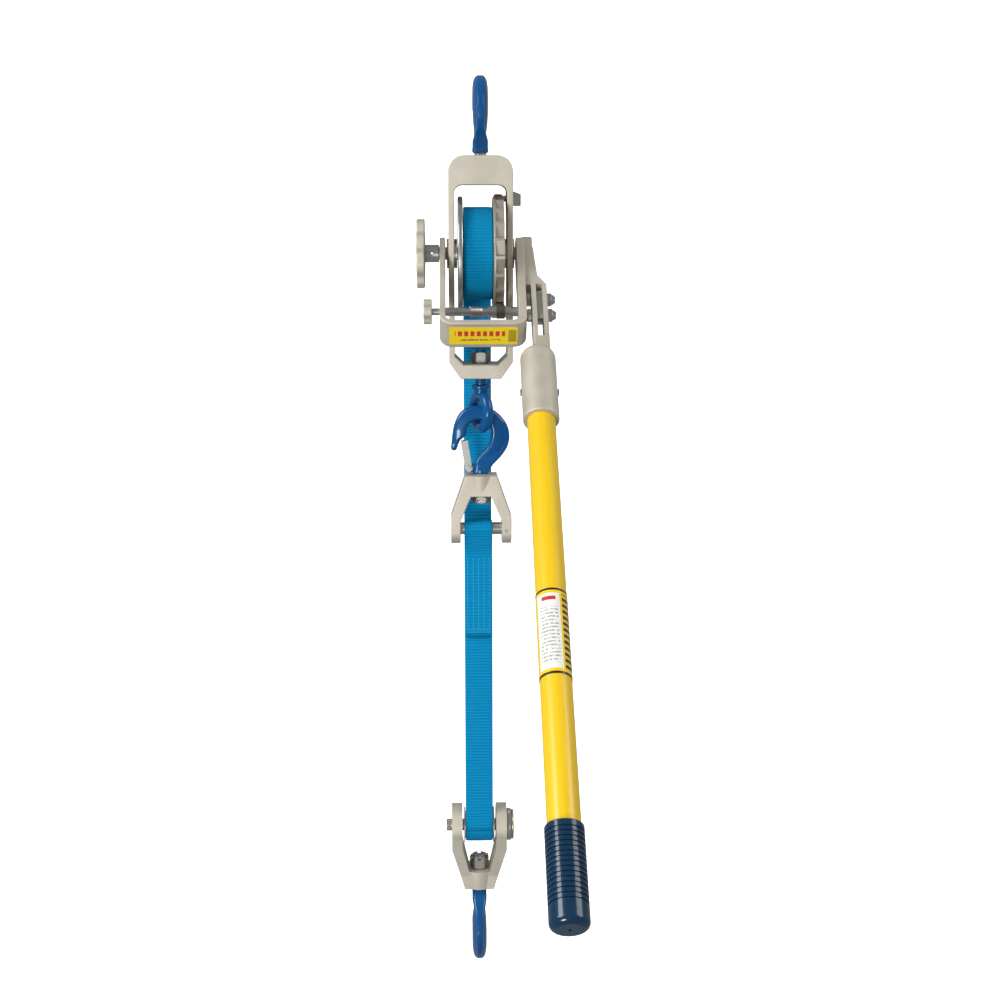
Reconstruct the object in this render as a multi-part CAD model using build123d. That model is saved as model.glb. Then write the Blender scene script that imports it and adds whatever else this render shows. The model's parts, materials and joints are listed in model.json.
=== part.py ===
from build123d import *
from math import asin, cos, degrees, radians, sin, sqrt
import os

# Web-strap ratchet hoist. Lengths are in millimetres and angles in degrees.
# The hoist hangs along Z and its handle points to -Y. Every piece is laid out from the
# middle of the drum's axis, and keep() then lowers it so that the origin of the model is
# the inside of the top hook's bowl, the point that it hangs from.

# ---------------------------------------------------------------- driving dimensions

# Strap
STRAP_WIDTH = 31.75
STRAP_THICKNESS = 2.8
STRAP_SIDE_GAP = 0.6
PACK_RADIUS = 50.8            # outside of the strap wound on the drum
PLY_GAP = 0.3                 # between the wound strap and the ply that leaves it
WRAP_END = 325                # where the last turn of strap ends, round the drum from +Y
SEWN_LENGTH = 126             # from the clevis pin to the cut end of the sewn overlap

# Drum and ratchet
SHAFT_RADIUS = 7.0
CORE_RADIUS = 24.0
WHEEL_RADIUS = 62.0
WHEEL_TEETH = 20
TOOTH_DEPTH = 5.0
TOOTH_WIDTH = 9.3
WHEEL_WEB = 2.5
FLANGE_THICKNESS = 5.5
THRUST_WASHER = 3.2
KEY_SIZE = 4.0

# Frame
SIDE_WALL = 6.5
FRAME_DEPTH = 45.0
WINDOW_ABOVE_WHEEL = 12.0
WINDOW_BELOW_WHEEL = 59.5
TOP_BAR = 31.6
BOTTOM_BAR = 15.5
TOP_CORNER = 17.5
WINDOW_CORNER = 9.0
BOTTOM_CHAMFER_X = 13.0
BOTTOM_CHAMFER_Z = 18.5
WINDOW_CHAMFER = 9.6
BUSHING_RADIUS = 10.0
BUSHING_FLANGE_RADIUS = 16.0
BUSHING_FLANGE = 1.7

# Handwheel on the left end of the drum shaft
HANDWHEEL_RADIUS = 39.3
HANDWHEEL_THICKNESS = 8.8
HANDWHEEL_LOBES = 8
HANDWHEEL_HUB_LENGTH = 15.8
HANDWHEEL_HUB_RADIUS = 9.8

# Lever yoke, which turns on the drum shaft outside the frame
LEVER_TILT = 50.4             # from straight down towards -Y, as it rests
YOKE_GAP = 3.4
YOKE_LEFT_ARM = 6.2
YOKE_RIGHT_ARM = 8.4
YOKE_WIDTH = 35.0
YOKE_REACH = 129.5
CROSSBAR_THICKNESS = 6.5
YOKE_OUTER_CORNER = 14.0
YOKE_INNER_CORNER = 8.0
SHAFT_RECESS = 5.5

# Lug, link plate and fork that join the yoke to the handle
LUG_DEPTH = 24.0
LUG_END = 88.0
LUG_SHOULDER = 48.0
LUG_WEB = 9.6
FORK_CHEEK = 5.2
LINK_PLATE = 6.0
LINK_GAP = 0.3
HEAD_POCKET = 5.8
UPPER_BOLT_REACH = 75.0
LOWER_BOLT_REACH = 99.0
BOLT_RADIUS = 4.0
BOLT_HEAD_FLATS = 13.0
BOLT_HEAD_HEIGHT = 5.0
NUT_HEIGHT = 7.5

# Handle
HANDLE_OFFSET = 4.5           # the tube's axis lies this far inside the fork's middle
SOCKET_RADIUS = 18.5
SOCKET_START = 156.0
SOCKET_END = 251.0
TUBE_RADIUS = 14.3
TUBE_WALL = 3.2
TUBE_START = 172.0
HANDLE_END = 786.0
GRIP_RADIUS = 16.6
GRIP_LENGTH = 88.0
GRIP_END_WALL = 4.0
GRIP_RIBS = 15
GRIP_RIB_PITCH = 4.4
GRIP_GROOVE_DEPTH = 0.9
SLEEVE_START = 468.0
SLEEVE_LENGTH = 91.0
SLEEVE_THICKNESS = 0.35

# Drive pawl, carried between the yoke's arms
PAWL_SHAFT_RADIUS = 3.75
PAWL_SHAFT_REACH = 84.6
PAWL_SHAFT_SET_BACK = 8.0
PAWL_HUB_RADIUS = 7.6
PAWL_THICKNESS = 8.6
PAWL_KNOB_RADIUS = 13.5
PAWL_KNOB_THICKNESS = 9.0
PAWL_KNOB_STEM = 8.5
PAWL_SLEEVE_RADIUS = 4.7
DRIVE_NOSE_ANGLE = 20.0

# Stop pawl, carried on an ear of the frame behind the wheel
STOP_PAWL_ANGLE = 27.5        # its pivot, behind straight up from the drum's axis
STOP_NOSE_ANGLE = 25.0        # its nose, further round the wheel than its pivot
STOP_HUB_RADIUS = 5.0
STOP_SHAFT_RADIUS = 3.5
EAR_RADIUS = 9.0
TRIP_LUG_WIDTH = 9.0
TRIP_LUG_HEIGHT = 16.5

# Hooks: height from the shoulder to the crown, and thickness across the flat faces
HOOK_HEIGHT = 77.5            # the hook that every hook is scaled from
TOP_HOOK_HEIGHT = 82.4
STRAP_HOOK_HEIGHT = 77.5
BLOCK_HOOK_HEIGHT = 93.0
TOP_HOOK_THICKNESS = 17.0
STRAP_HOOK_THICKNESS = 12.0
BLOCK_HOOK_THICKNESS = 17.0
HOOK_SHANK_RADIUS = 6.35
HOOK_NUT_FLATS = 20.0
LATCH_SHEET = 1.4
RIVET_RADIUS = 2.0
TOP_HOOK_GAP = 3.0            # bare shank between the frame and the hook's shoulder
SHOULDER_GAP = 1.2            # the same at the other two hooks
SADDLE_GAP = 3.0              # between the strap hook's bowl and the eye's wire

# Swivel eye under the frame
EYE_DROP = 8.5                # from the frame to the top of the eye's collar
EYE_COLLAR_RADIUS = 10.8
EYE_COLLAR_HEIGHT = 5.0
EYE_OUTER_RADIUS = 25.0
EYE_WIRE_RADIUS = 6.0
EYE_TURN = 24.0               # from edge-on, as it rests

# Clevis at the end of the strap
STRAP_PIN_DROP = 311.0
STRAP_PIN_RADIUS = 7.0
CLEVIS_GAP = 47.0
CLEVIS_LEG = 11.0
CLEVIS_LEG_DEPTH = 30.0
CLEVIS_HUB_RADIUS = 18.0
CLEVIS_HUB_HEIGHT = 24.0
CLEVIS_SHOULDER = 15.0

# Lower block
SHEAVE_DROP = 672.0
SHEAVE_RADIUS = 16.0
SHEAVE_FLANGE_RADIUS = 21.0
SHEAVE_FLANGE = 1.3
SHEAVE_PIN_RADIUS = 7.0
BLOCK_CHEEK = 12.5
BLOCK_CHEEK_RADIUS = 25.5
BLOCK_HUB_RADIUS = 17.3
BLOCK_HUB_DROP = 76.0
BLOCK_CROTCH_DROP = 53.5
PIN_HEAD_RADIUS = 18.8
PIN_HEAD_THICKNESS = 5.5

# Clearances and edge roundings
RUNNING = 0.05                # radial, of a shaft that turns in its bore
FIT = 0.02                    # radial, of a pin pressed into its hole
SIDE_PLAY = 0.3               # between two faces that move past each other
TIP_CLEARANCE = 0.4           # between the wheel's teeth and a lifted pawl
CASTING_EDGE = 1.2

# ---------------------------------------------------------------- places worked out

STRAP_SPACE = STRAP_WIDTH + 2 * STRAP_SIDE_GAP
FRAME_INNER = (
    2 * (THRUST_WASHER + 2 * SIDE_PLAY) + FLANGE_THICKNESS + STRAP_SPACE + WHEEL_WEB + TOOTH_WIDTH
)
FRAME_WIDTH = FRAME_INNER + 2 * SIDE_WALL
FRAME_HALF = FRAME_WIDTH / 2
WINDOW_TOP = WHEEL_RADIUS + WINDOW_ABOVE_WHEEL
WINDOW_BOTTOM = -WHEEL_RADIUS - WINDOW_BELOW_WHEEL
FRAME_TOP = WINDOW_TOP + TOP_BAR
FRAME_BOTTOM = WINDOW_BOTTOM - BOTTOM_BAR

FLANGE_X = -FRAME_INNER / 2 + THRUST_WASHER + 2 * SIDE_PLAY
STRAP_SPACE_X = FLANGE_X + FLANGE_THICKNESS
STRAP_X = STRAP_SPACE_X + STRAP_SPACE / 2
WHEEL_X = STRAP_SPACE_X + STRAP_SPACE
TEETH_X = WHEEL_X + WHEEL_WEB
DRUM_END_X = TEETH_X + TOOTH_WIDTH

LEFT_ARM_IN = -FRAME_HALF - YOKE_GAP
LEFT_ARM_OUT = LEFT_ARM_IN - YOKE_LEFT_ARM
RIGHT_ARM_IN = FRAME_HALF + YOKE_GAP
RIGHT_ARM_OUT = RIGHT_ARM_IN + YOKE_RIGHT_ARM
CHEEK_X = RIGHT_ARM_OUT + HEAD_POCKET
SLOT_X = CHEEK_X + FORK_CHEEK
SLOT_WIDTH = LINK_PLATE + 2 * LINK_GAP
FORK_END_X = SLOT_X + SLOT_WIDTH + FORK_CHEEK
FORK_MIDDLE_X = (CHEEK_X + FORK_END_X) / 2
HANDLE_X = FORK_MIDDLE_X - HANDLE_OFFSET
HUB_X = LEFT_ARM_OUT - SIDE_PLAY - 0.4
HANDWHEEL_X = HUB_X - HANDWHEEL_HUB_LENGTH

DRUM_PLY_RADIUS = PACK_RADIUS - STRAP_THICKNESS / 2
BIGHT_INNER = SHEAVE_RADIUS + SIDE_PLAY
BIGHT_OUTER = BIGHT_INNER + STRAP_THICKNESS
SHEAVE_PLY_RADIUS = BIGHT_INNER + STRAP_THICKNESS / 2
# The back run is tangent to the drum's outer ply and to the sheave's.
BACK_LEAN = degrees(asin((DRUM_PLY_RADIUS - SHEAVE_PLY_RADIUS) / SHEAVE_DROP))
# The sewn overlap and the front run hang on one line from the clevis pin to the sheave.
FRONT_LEAN = degrees(asin((SHEAVE_PLY_RADIUS + STRAP_THICKNESS / 2) / (SHEAVE_DROP - STRAP_PIN_DROP)))

STOP_PIVOT_REACH = WHEEL_RADIUS + TIP_CLEARANCE + STOP_HUB_RADIUS
STOP_PIVOT_Y = STOP_PIVOT_REACH * sin(radians(STOP_PAWL_ANGLE))
STOP_PIVOT_Z = STOP_PIVOT_REACH * cos(radians(STOP_PAWL_ANGLE))

TOP_HOOK_BASE = FRAME_TOP + TOP_HOOK_GAP
HOOK_CROWN = 16.2             # thickness of the crown, on the hook of HOOK_HEIGHT
ORIGIN_ABOVE_DRUM = TOP_HOOK_BASE + (HOOK_HEIGHT - HOOK_CROWN) * TOP_HOOK_HEIGHT / HOOK_HEIGHT
EYE_COLLAR_TOP = FRAME_BOTTOM - EYE_DROP
EYE_CENTRE = EYE_COLLAR_TOP - EYE_COLLAR_HEIGHT - EYE_OUTER_RADIUS
EYE_SEAT = EYE_CENTRE - EYE_OUTER_RADIUS + 2 * EYE_WIRE_RADIUS
STRAP_HOOK_SCALE = STRAP_HOOK_HEIGHT / HOOK_HEIGHT
STRAP_HOOK_BASE = EYE_SEAT + SADDLE_GAP - (HOOK_HEIGHT - HOOK_CROWN) * STRAP_HOOK_SCALE
CLEVIS_TOP = STRAP_HOOK_BASE - SHOULDER_GAP
CLEVIS_HALF = CLEVIS_GAP / 2 + CLEVIS_LEG
CLEVIS_HUB_BOTTOM = CLEVIS_TOP - CLEVIS_HUB_HEIGHT
BLOCK_HALF = STRAP_SPACE / 2 + SHEAVE_FLANGE + SIDE_PLAY + 1.8
BLOCK_HUB_BOTTOM = -SHEAVE_DROP - BLOCK_HUB_DROP
BLOCK_CROTCH = -SHEAVE_DROP - BLOCK_CROTCH_DROP
BLOCK_HOOK_BASE = BLOCK_HUB_BOTTOM - SHOULDER_GAP


# ---------------------------------------------------------------- small helpers


def keep(node, shape):
    """Lowers a piece to the model's frame and writes it as one node."""
    lowered = Pos(0, 0, -ORIGIN_ABOVE_DRUM) * shape
    solids = lowered.solids()
    export_step(solids[0] if len(solids) == 1 else Compound(children=solids), f"parts/{node}.step")


def block(x0, x1, y0, y1, z0, z1):
    """A box between two corners."""
    return Pos((x0 + x1) / 2, (y0 + y1) / 2, (z0 + z1) / 2) * Box(x1 - x0, y1 - y0, z1 - z0)


def x_rod(radius, x0, x1, y=0, z=0):
    """A round bar along X."""
    return Pos((x0 + x1) / 2, y, z) * Rot(0, 90, 0) * Cylinder(radius, x1 - x0)


def y_rod(radius, y0, y1, x=0, z=0):
    """A round bar along Y."""
    return Pos(x, (y0 + y1) / 2, z) * Rot(90, 0, 0) * Cylinder(radius, y1 - y0)


def z_rod(radius, z0, z1, x=0, y=0):
    """A round bar along Z."""
    return Pos(x, y, (z0 + z1) / 2) * Cylinder(radius, z1 - z0)


def x_ring(outer, inner, x0, x1, y=0, z=0):
    """A washer or tube along X."""
    return x_rod(outer, x0, x1, y, z) - x_rod(inner, x0 - 1, x1 + 1, y, z)


def z_ring(outer, inner, z0, z1, x=0, y=0):
    """A washer or tube along Z."""
    return z_rod(outer, z0, z1, x, y) - z_rod(inner, z0 - 1, z1 + 1, x, y)


def front_plate(face, y0, y1):
    """A flat shape drawn as seen from the front (X, Z), made solid from y0 to y1."""
    return extrude(Plane.XZ.offset(-y1) * face, y1 - y0)


def side_plate(face, x0, x1):
    """A flat shape drawn as seen from the side (Y, Z), made solid from x0 to x1."""
    return extrude(Plane.YZ.offset(x0) * face, x1 - x0)


def hex_prism(flats, z0, z1):
    """A hexagonal bar along Z, with its corners chamfered as on a nut."""
    corner = flats / sqrt(3)
    bar = Pos(0, 0, z0) * extrude(RegularPolygon(corner, 6), z1 - z0)
    height = z1 - z0
    cone = Cylinder(corner - 0.3, height)
    cone = chamfer(cone.edges().filter_by(GeomType.CIRCLE), 0.09 * flats)
    return bar & (Pos(0, 0, (z0 + z1) / 2) * cone)


def polar(radius, angle):
    """A point in the YZ plane at an angle from +Y towards +Z."""
    return (radius * cos(radians(angle)), radius * sin(radians(angle)))


def band(inner, outer, start, end):
    """A flat ring sector in the YZ plane, from one angle to another."""
    middle = (start + end) / 2
    outline = Curve() + [
        ThreePointArc(polar(outer, start), polar(outer, middle), polar(outer, end)),
        Line(polar(outer, end), polar(inner, end)),
        ThreePointArc(polar(inner, end), polar(inner, middle), polar(inner, start)),
        Line(polar(inner, start), polar(outer, start)),
    ]
    return make_face(outline.edges())


def soften(shape, edges, radius):
    """Rounds edges, by less where the full radius does not fit, or leaves them sharp."""
    for size in (radius, 0.6 * radius, 0.3 * radius):
        try:
            rounded = fillet(edges, size)
        except ValueError:
            continue
        if rounded.is_valid:
            return rounded
    return shape


def star(valley, tip, lobes, turn=0.0):
    """A smooth lobed outline in the YZ plane, like a star handwheel's."""
    points = []
    for step in range(4 * lobes):
        angle = step * 90 / lobes + turn
        share = (1 - cos(radians(90 * step))) / 2
        points.append(polar(valley + (tip - valley) * (0.35 + 0.65 * share if step % 2 == 0 else 0.82), angle))
    return make_face(Curve() + [Spline(*points, periodic=True)])


def swung(shape):
    """Turns a piece drawn on the hanging lever to where the lever rests."""
    return Rot(-LEVER_TILT, 0, 0) * shape


# ---------------------------------------------------------------- hooks


def hook_outline():
    """The flat hook of HOOK_HEIGHT: shoulder on Z = 0, crown up, mouth on the -X side."""
    bowl_x, bowl_z = -2.4, 47.5
    bowl_radius = HOOK_HEIGHT - HOOK_CROWN - bowl_z
    neck_right, neck_left = (8.5, 0), (-8.5, 0)
    bowl_right = (bowl_x + bowl_radius, bowl_z)
    bowl_left = (bowl_x - bowl_radius, bowl_z)
    tip_side, tip_front, tip_lean = (-34.0, 30.0), (-27.4, 28.0), (-0.12, -1)
    back = Spline(
        neck_right, (20.6, 17.0), (30.6, 32.0), (31.0, 52.0), (15.5, 71.6),
        (bowl_x, HOOK_HEIGHT), (-21.5, 71.5), (-29.6, 58.0), tip_side,
        tangents=[(0.25, 1), tip_lean],
    )
    tip = TangentArc(tip_side, tip_front, tangent=tip_lean)
    tip_inside = Spline(tip_front, (-23.0, 38.5), bowl_left, tangents=[tip % 1, (0, 1)])
    bowl = ThreePointArc(bowl_left, (bowl_x, bowl_z + bowl_radius), bowl_right)
    throat = Spline(bowl_right, (5.2, 28.0), (-5.4, 15.5), neck_left, tangents=[(0, -1), (-0.1, -1)])
    outline = Curve() + [back, tip, tip_inside, bowl, throat, Line(neck_left, neck_right)]
    return make_face(outline.edges())


LATCH_X, LATCH_Z = -14.0, 6.0         # the rivet, on the hook of HOOK_HEIGHT
LATCH_LENGTH = 32.0
LATCH_LEAN = 9.0                      # from straight up towards the tip, when shut
EAR_HALF = 2.6


def hook(height, thickness, shank_length):
    """A forged swivel hook standing on its shank, with an ear for the latch's rivet."""
    scale_up = height / HOOK_HEIGHT
    body = extrude(Plane.XZ.offset(-thickness / 2) * scale(hook_outline(), scale_up), thickness)
    rims = body.faces().filter_by(Axis.Y).edges()
    rims = rims.filter_by(lambda edge: edge.center().Z > 0.5)
    body = soften(body, rims, 3.8 * scale_up)
    rivet_x, rivet_z = LATCH_X * scale_up, LATCH_Z * scale_up
    ear = y_rod(4.6 * scale_up, -EAR_HALF * scale_up, EAR_HALF * scale_up, rivet_x, rivet_z)
    web = block(rivet_x, -5 * scale_up, -EAR_HALF * scale_up, EAR_HALF * scale_up,
                rivet_z - 4.6 * scale_up, rivet_z + 4.0 * scale_up)
    shoulder = z_rod(thickness / 2 + 0.4, 0, 5 * scale_up)
    shank = z_rod(HOOK_SHANK_RADIUS, -shank_length, 1)
    bore = y_rod(RIVET_RADIUS + FIT, -thickness, thickness, rivet_x, rivet_z)
    return body + ear + web + shoulder + shank - bore


def latch(height):
    """The sprung sheet-metal latch of a hook: two cheeks joined by a back."""
    scale_up = height / HOOK_HEIGHT
    inner = (EAR_HALF + SIDE_PLAY) * scale_up + 0.1
    outer = inner + LATCH_SHEET
    half_width = 4.0 * scale_up
    length = LATCH_LENGTH * scale_up
    outline = Curve() + [
        Line((half_width, 0), (half_width, length)),
        Line((half_width, length), (-half_width, length)),
        Line((-half_width, length), (-half_width, 0)),
        ThreePointArc((-half_width, 0), (0, -half_width), (half_width, 0)),
    ]
    side = make_face(outline.edges())
    cheeks = front_plate(side, -outer, -inner) + front_plate(side, inner, outer)
    rise = 11 * scale_up
    back = block(-half_width, -half_width + LATCH_SHEET, -outer, outer, rise, length)
    bore = y_rod(RIVET_RADIUS + RUNNING, -outer - 1, outer + 1)
    leaned = Rot(0, -LATCH_LEAN, 0) * (cheeks + back - bore)
    return Pos(LATCH_X * scale_up, 0, LATCH_Z * scale_up) * leaned


def latch_rivet(height):
    """The rivet that a latch turns on, with a low head at each end."""
    scale_up = height / HOOK_HEIGHT
    reach = (EAR_HALF + SIDE_PLAY) * scale_up + 0.1 + LATCH_SHEET + SIDE_PLAY
    rivet_x, rivet_z = LATCH_X * scale_up, LATCH_Z * scale_up
    pin = y_rod(RIVET_RADIUS, -reach, reach, rivet_x, rivet_z)
    heads = y_rod(3.2, -reach - 1.0, -reach, rivet_x, rivet_z) + y_rod(3.2, reach, reach + 1.0, rivet_x, rivet_z)
    return pin + heads


def at_top(shape):
    """Stands a hook on the frame, with its back to the front."""
    return Pos(0, 0, TOP_HOOK_BASE) * Rot(0, 0, -90) * shape


def at_strap_end(shape):
    """Stands a hook on the strap's clevis, flat to the front."""
    return Pos(0, 0, STRAP_HOOK_BASE) * shape


def at_block(shape):
    """Hangs a hook under the lower block, with its back to the front."""
    return Pos(STRAP_X, 0, BLOCK_HOOK_BASE) * Rot(0, 0, 90) * Rot(0, 180, 0) * shape


# ---------------------------------------------------------------- frame


def frame_casting():
    """The one-piece aluminium frame: a tall ring with swivel bores in its two ends."""
    outer = Polyline(
        (-FRAME_HALF, FRAME_TOP), (FRAME_HALF, FRAME_TOP),
        (FRAME_HALF, FRAME_BOTTOM + BOTTOM_CHAMFER_Z),
        (FRAME_HALF - BOTTOM_CHAMFER_X, FRAME_BOTTOM),
        (-FRAME_HALF + BOTTOM_CHAMFER_X, FRAME_BOTTOM),
        (-FRAME_HALF, FRAME_BOTTOM + BOTTOM_CHAMFER_Z),
        close=True,
    )
    half = FRAME_INNER / 2
    window = Polyline(
        (-half, WINDOW_TOP), (half, WINDOW_TOP), (half, WINDOW_BOTTOM + WINDOW_CHAMFER),
        (half - WINDOW_CHAMFER, WINDOW_BOTTOM), (-half + WINDOW_CHAMFER, WINDOW_BOTTOM),
        (-half, WINDOW_BOTTOM + WINDOW_CHAMFER),
        close=True,
    )
    outer_face = make_face(outer)
    outer_face = fillet(outer_face.vertices().sort_by(Axis.Y)[-2:], TOP_CORNER)
    window_face = make_face(window)
    window_face = fillet(window_face.vertices().sort_by(Axis.Y)[-2:], WINDOW_CORNER)
    ring = front_plate(outer_face - window_face, -FRAME_DEPTH / 2, FRAME_DEPTH / 2)
    ring = soften(ring, ring.faces().filter_by(Axis.Y).edges(), CASTING_EDGE)
    wall = (half, FRAME_HALF)
    ear = x_rod(EAR_RADIUS, *wall, STOP_PIVOT_Y, STOP_PIVOT_Z)
    root = FRAME_DEPTH / 2 - 4
    ear_web = side_plate(
        make_face(Polyline(
            (root, STOP_PIVOT_Z + EAR_RADIUS), (STOP_PIVOT_Y, STOP_PIVOT_Z + EAR_RADIUS),
            (STOP_PIVOT_Y + 0.7 * EAR_RADIUS, STOP_PIVOT_Z - 0.7 * EAR_RADIUS),
            (root, STOP_PIVOT_Z - 2.4 * EAR_RADIUS), close=True,
        )),
        *wall,
    )
    body = ring + ear + ear_web
    body -= x_rod(BUSHING_RADIUS, -FRAME_HALF - 1, FRAME_HALF + 1)
    body -= x_rod(STOP_SHAFT_RADIUS + RUNNING, half - 1, FRAME_HALF + 1, STOP_PIVOT_Y, STOP_PIVOT_Z)
    body -= z_rod(HOOK_SHANK_RADIUS + RUNNING, WINDOW_TOP - 1, FRAME_TOP + 1)
    body -= z_rod(TOP_NUT_POCKET, WINDOW_TOP - 1, TOP_NUT_SEAT)
    body -= z_rod(HOOK_SHANK_RADIUS + RUNNING, FRAME_BOTTOM - 1, WINDOW_BOTTOM + 1)
    return body


NUT_THICKNESS = 13.0
TOP_NUT_POCKET = 14.5                 # radius of the pocket that hides the top nut
TOP_NUT_SEAT = WINDOW_TOP + NUT_THICKNESS + 4.0


def frame_bushings():
    """Two flanged bushings that carry the drum shaft in the frame's sides."""
    outside, inside = FRAME_HALF, FRAME_INNER / 2
    bushing = x_ring(BUSHING_RADIUS - FIT, SHAFT_RADIUS + RUNNING, inside, outside)
    bushing += x_ring(BUSHING_FLANGE_RADIUS, SHAFT_RADIUS + RUNNING, outside, outside + BUSHING_FLANGE)
    return Compound(children=[bushing, mirror(bushing, Plane.YZ)])


def thrust_washers():
    """Two washers between the drum and the frame's sides."""
    inside = FRAME_INNER / 2
    washer = x_ring(BUSHING_FLANGE_RADIUS, SHAFT_RADIUS + 0.2, inside - THRUST_WASHER, inside)
    return Compound(children=[washer, mirror(washer, Plane.YZ)])


# ---------------------------------------------------------------- drum


def drum_shaft():
    """The shaft that the drum is keyed to, from the handwheel to the yoke's lug."""
    start = HANDWHEEL_X + 2.0
    end = RIGHT_ARM_OUT + LUG_WEB - 1.2
    shaft = x_rod(SHAFT_RADIUS, start, end)
    shaft = chamfer(shaft.edges().filter_by(GeomType.CIRCLE), 0.8)
    shaft -= x_ring(SHAFT_RADIUS + 1, SHAFT_RADIUS - 0.8, *SNAP_GROOVE)
    shaft -= key_block(SHAFT_RADIUS + 1)
    return shaft - roll_pin_bore()


SNAP_GROOVE = (RIGHT_ARM_OUT + LUG_WEB - SHAFT_RECESS + SIDE_PLAY, RIGHT_ARM_OUT + LUG_WEB - SHAFT_RECESS + 1.8)


def snap_ring():
    """The open ring that holds the shaft's right end."""
    inner = SHAFT_RADIUS - 0.8 + FIT
    ring = x_ring(SHAFT_RADIUS + 3.0, inner, SNAP_GROOVE[0] + 0.1, SNAP_GROOVE[1] - 0.1)
    return ring - block(SNAP_GROOVE[0] - 1, SNAP_GROOVE[1] + 1, -2.5, 2.5, 0, SHAFT_RADIUS + 4)


def key_block(top):
    """The space of the key between the shaft and the drum's core and wheel."""
    half = KEY_SIZE / 2
    return block(STRAP_SPACE_X + 2, DRUM_END_X - 2, -half, half, SHAFT_RADIUS - half, top)


def drum_key():
    """The key, with a little room in its keyway."""
    half = KEY_SIZE / 2 - FIT
    return block(
        STRAP_SPACE_X + 2.5, DRUM_END_X - 2.5, -half, half,
        SHAFT_RADIUS - KEY_SIZE / 2 + FIT, SHAFT_RADIUS + KEY_SIZE / 2 - FIT,
    )


def strap_pin_place(radius, x0, x1):
    """A bar along X where the strap's inner end is anchored in the core."""
    return x_rod(radius, x0, x1, 0, -(CORE_RADIUS + SHAFT_RADIUS) / 2)


def drum_core():
    """The core that the strap winds on, with the slot and bore of the strap's anchor pin."""
    core = x_rod(CORE_RADIUS, STRAP_SPACE_X, WHEEL_X)
    core -= x_rod(SHAFT_RADIUS + FIT, STRAP_SPACE_X - 1, WHEEL_X + 1)
    core -= key_block(SHAFT_RADIUS + KEY_SIZE / 2)
    core -= strap_pin_place(4.0 + FIT, STRAP_SPACE_X - 1, WHEEL_X + 1)
    low = -(CORE_RADIUS + SHAFT_RADIUS) / 2
    slot_half = STRAP_WIDTH / 2 + STRAP_SIDE_GAP / 2
    return core - block(STRAP_X - slot_half, STRAP_X + slot_half, -7.5, 7.5, -CORE_RADIUS - 1, low + 1)


def drum_flange():
    """The plain disc on the left of the strap, with a rounded rim."""
    disc = x_rod(WHEEL_RADIUS, FLANGE_X, STRAP_SPACE_X)
    disc = fillet(disc.edges().filter_by(GeomType.CIRCLE), 1.6)
    return disc - x_rod(SHAFT_RADIUS + FIT, FLANGE_X - 1, STRAP_SPACE_X + 1)


def ratchet_wheel():
    """The ratchet wheel: a web beside the strap and a ring of saw teeth."""
    web = x_rod(WHEEL_RADIUS, WHEEL_X, TEETH_X)
    web = chamfer(web.edges().filter_by(GeomType.CIRCLE).sort_by(Axis.X)[0], 0.8)
    pitch = 360 / WHEEL_TEETH
    root_radius = WHEEL_RADIUS - TOOTH_DEPTH
    points = []
    for tooth in range(WHEEL_TEETH):
        start = tooth * pitch
        points.append(polar(root_radius, start))
        points.append(polar(WHEEL_RADIUS, start + 0.06 * pitch))
        points.append(polar(WHEEL_RADIUS, start + 0.22 * pitch))
    teeth = side_plate(make_face(Polyline(*points, close=True)), TEETH_X, DRUM_END_X)
    wheel = web + teeth
    wheel -= x_rod(SHAFT_RADIUS + FIT, WHEEL_X - 1, DRUM_END_X + 1)
    wheel -= x_rod(root_radius - 9, DRUM_END_X - 3.0, DRUM_END_X + 1) - x_rod(18, WHEEL_X, DRUM_END_X + 2)
    return wheel - key_block(SHAFT_RADIUS + KEY_SIZE / 2)


def handwheel():
    """The star handwheel that takes up slack strap by hand."""
    outline = star(HANDWHEEL_RADIUS - 8.0, HANDWHEEL_RADIUS, HANDWHEEL_LOBES)
    wheel = side_plate(outline, HANDWHEEL_X - HANDWHEEL_THICKNESS, HANDWHEEL_X)
    wheel = soften(wheel, wheel.faces().filter_by(Axis.X).edges(), 1.4)
    wheel -= x_ring(22, 13, HANDWHEEL_X - HANDWHEEL_THICKNESS - 1, HANDWHEEL_X - HANDWHEEL_THICKNESS + 2.2)
    return wheel - x_rod(SHAFT_RADIUS + FIT, HANDWHEEL_X - HANDWHEEL_THICKNESS - 1, HANDWHEEL_X + 1)


def roll_pin_bore():
    """The cross hole of the roll pin through the handwheel's hub and the shaft."""
    return y_rod(2.0 + FIT, -HANDWHEEL_HUB_RADIUS - 1, HANDWHEEL_HUB_RADIUS + 1, HUB_X - HANDWHEEL_HUB_LENGTH / 2)


def handwheel_hub():
    """The steel hub between the handwheel and the yoke."""
    hub = x_rod(HANDWHEEL_HUB_RADIUS, HANDWHEEL_X, HUB_X)
    hub = chamfer(hub.edges().filter_by(GeomType.CIRCLE), 0.7)
    return hub - x_rod(SHAFT_RADIUS + FIT, HANDWHEEL_X - 1, HUB_X + 1) - roll_pin_bore()


def hub_roll_pin():
    """The roll pin, a slit tube, a little short of the hub's surface."""
    reach = HANDWHEEL_HUB_RADIUS - 0.6
    middle = HUB_X - HANDWHEEL_HUB_LENGTH / 2
    pin = y_rod(2.0, -reach, reach, middle) - y_rod(1.2, -reach - 1, reach + 1, middle)
    return pin - block(middle - 0.3, middle + 0.3, -reach - 1, reach + 1, 0, 3)


# ---------------------------------------------------------------- strap


def strap_wound():
    """The strap wound on the drum, under its outermost turn."""
    outer = PACK_RADIUS - STRAP_THICKNESS - PLY_GAP
    return x_ring(outer, CORE_RADIUS + FIT, STRAP_X - STRAP_WIDTH / 2, STRAP_X + STRAP_WIDTH / 2)


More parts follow.
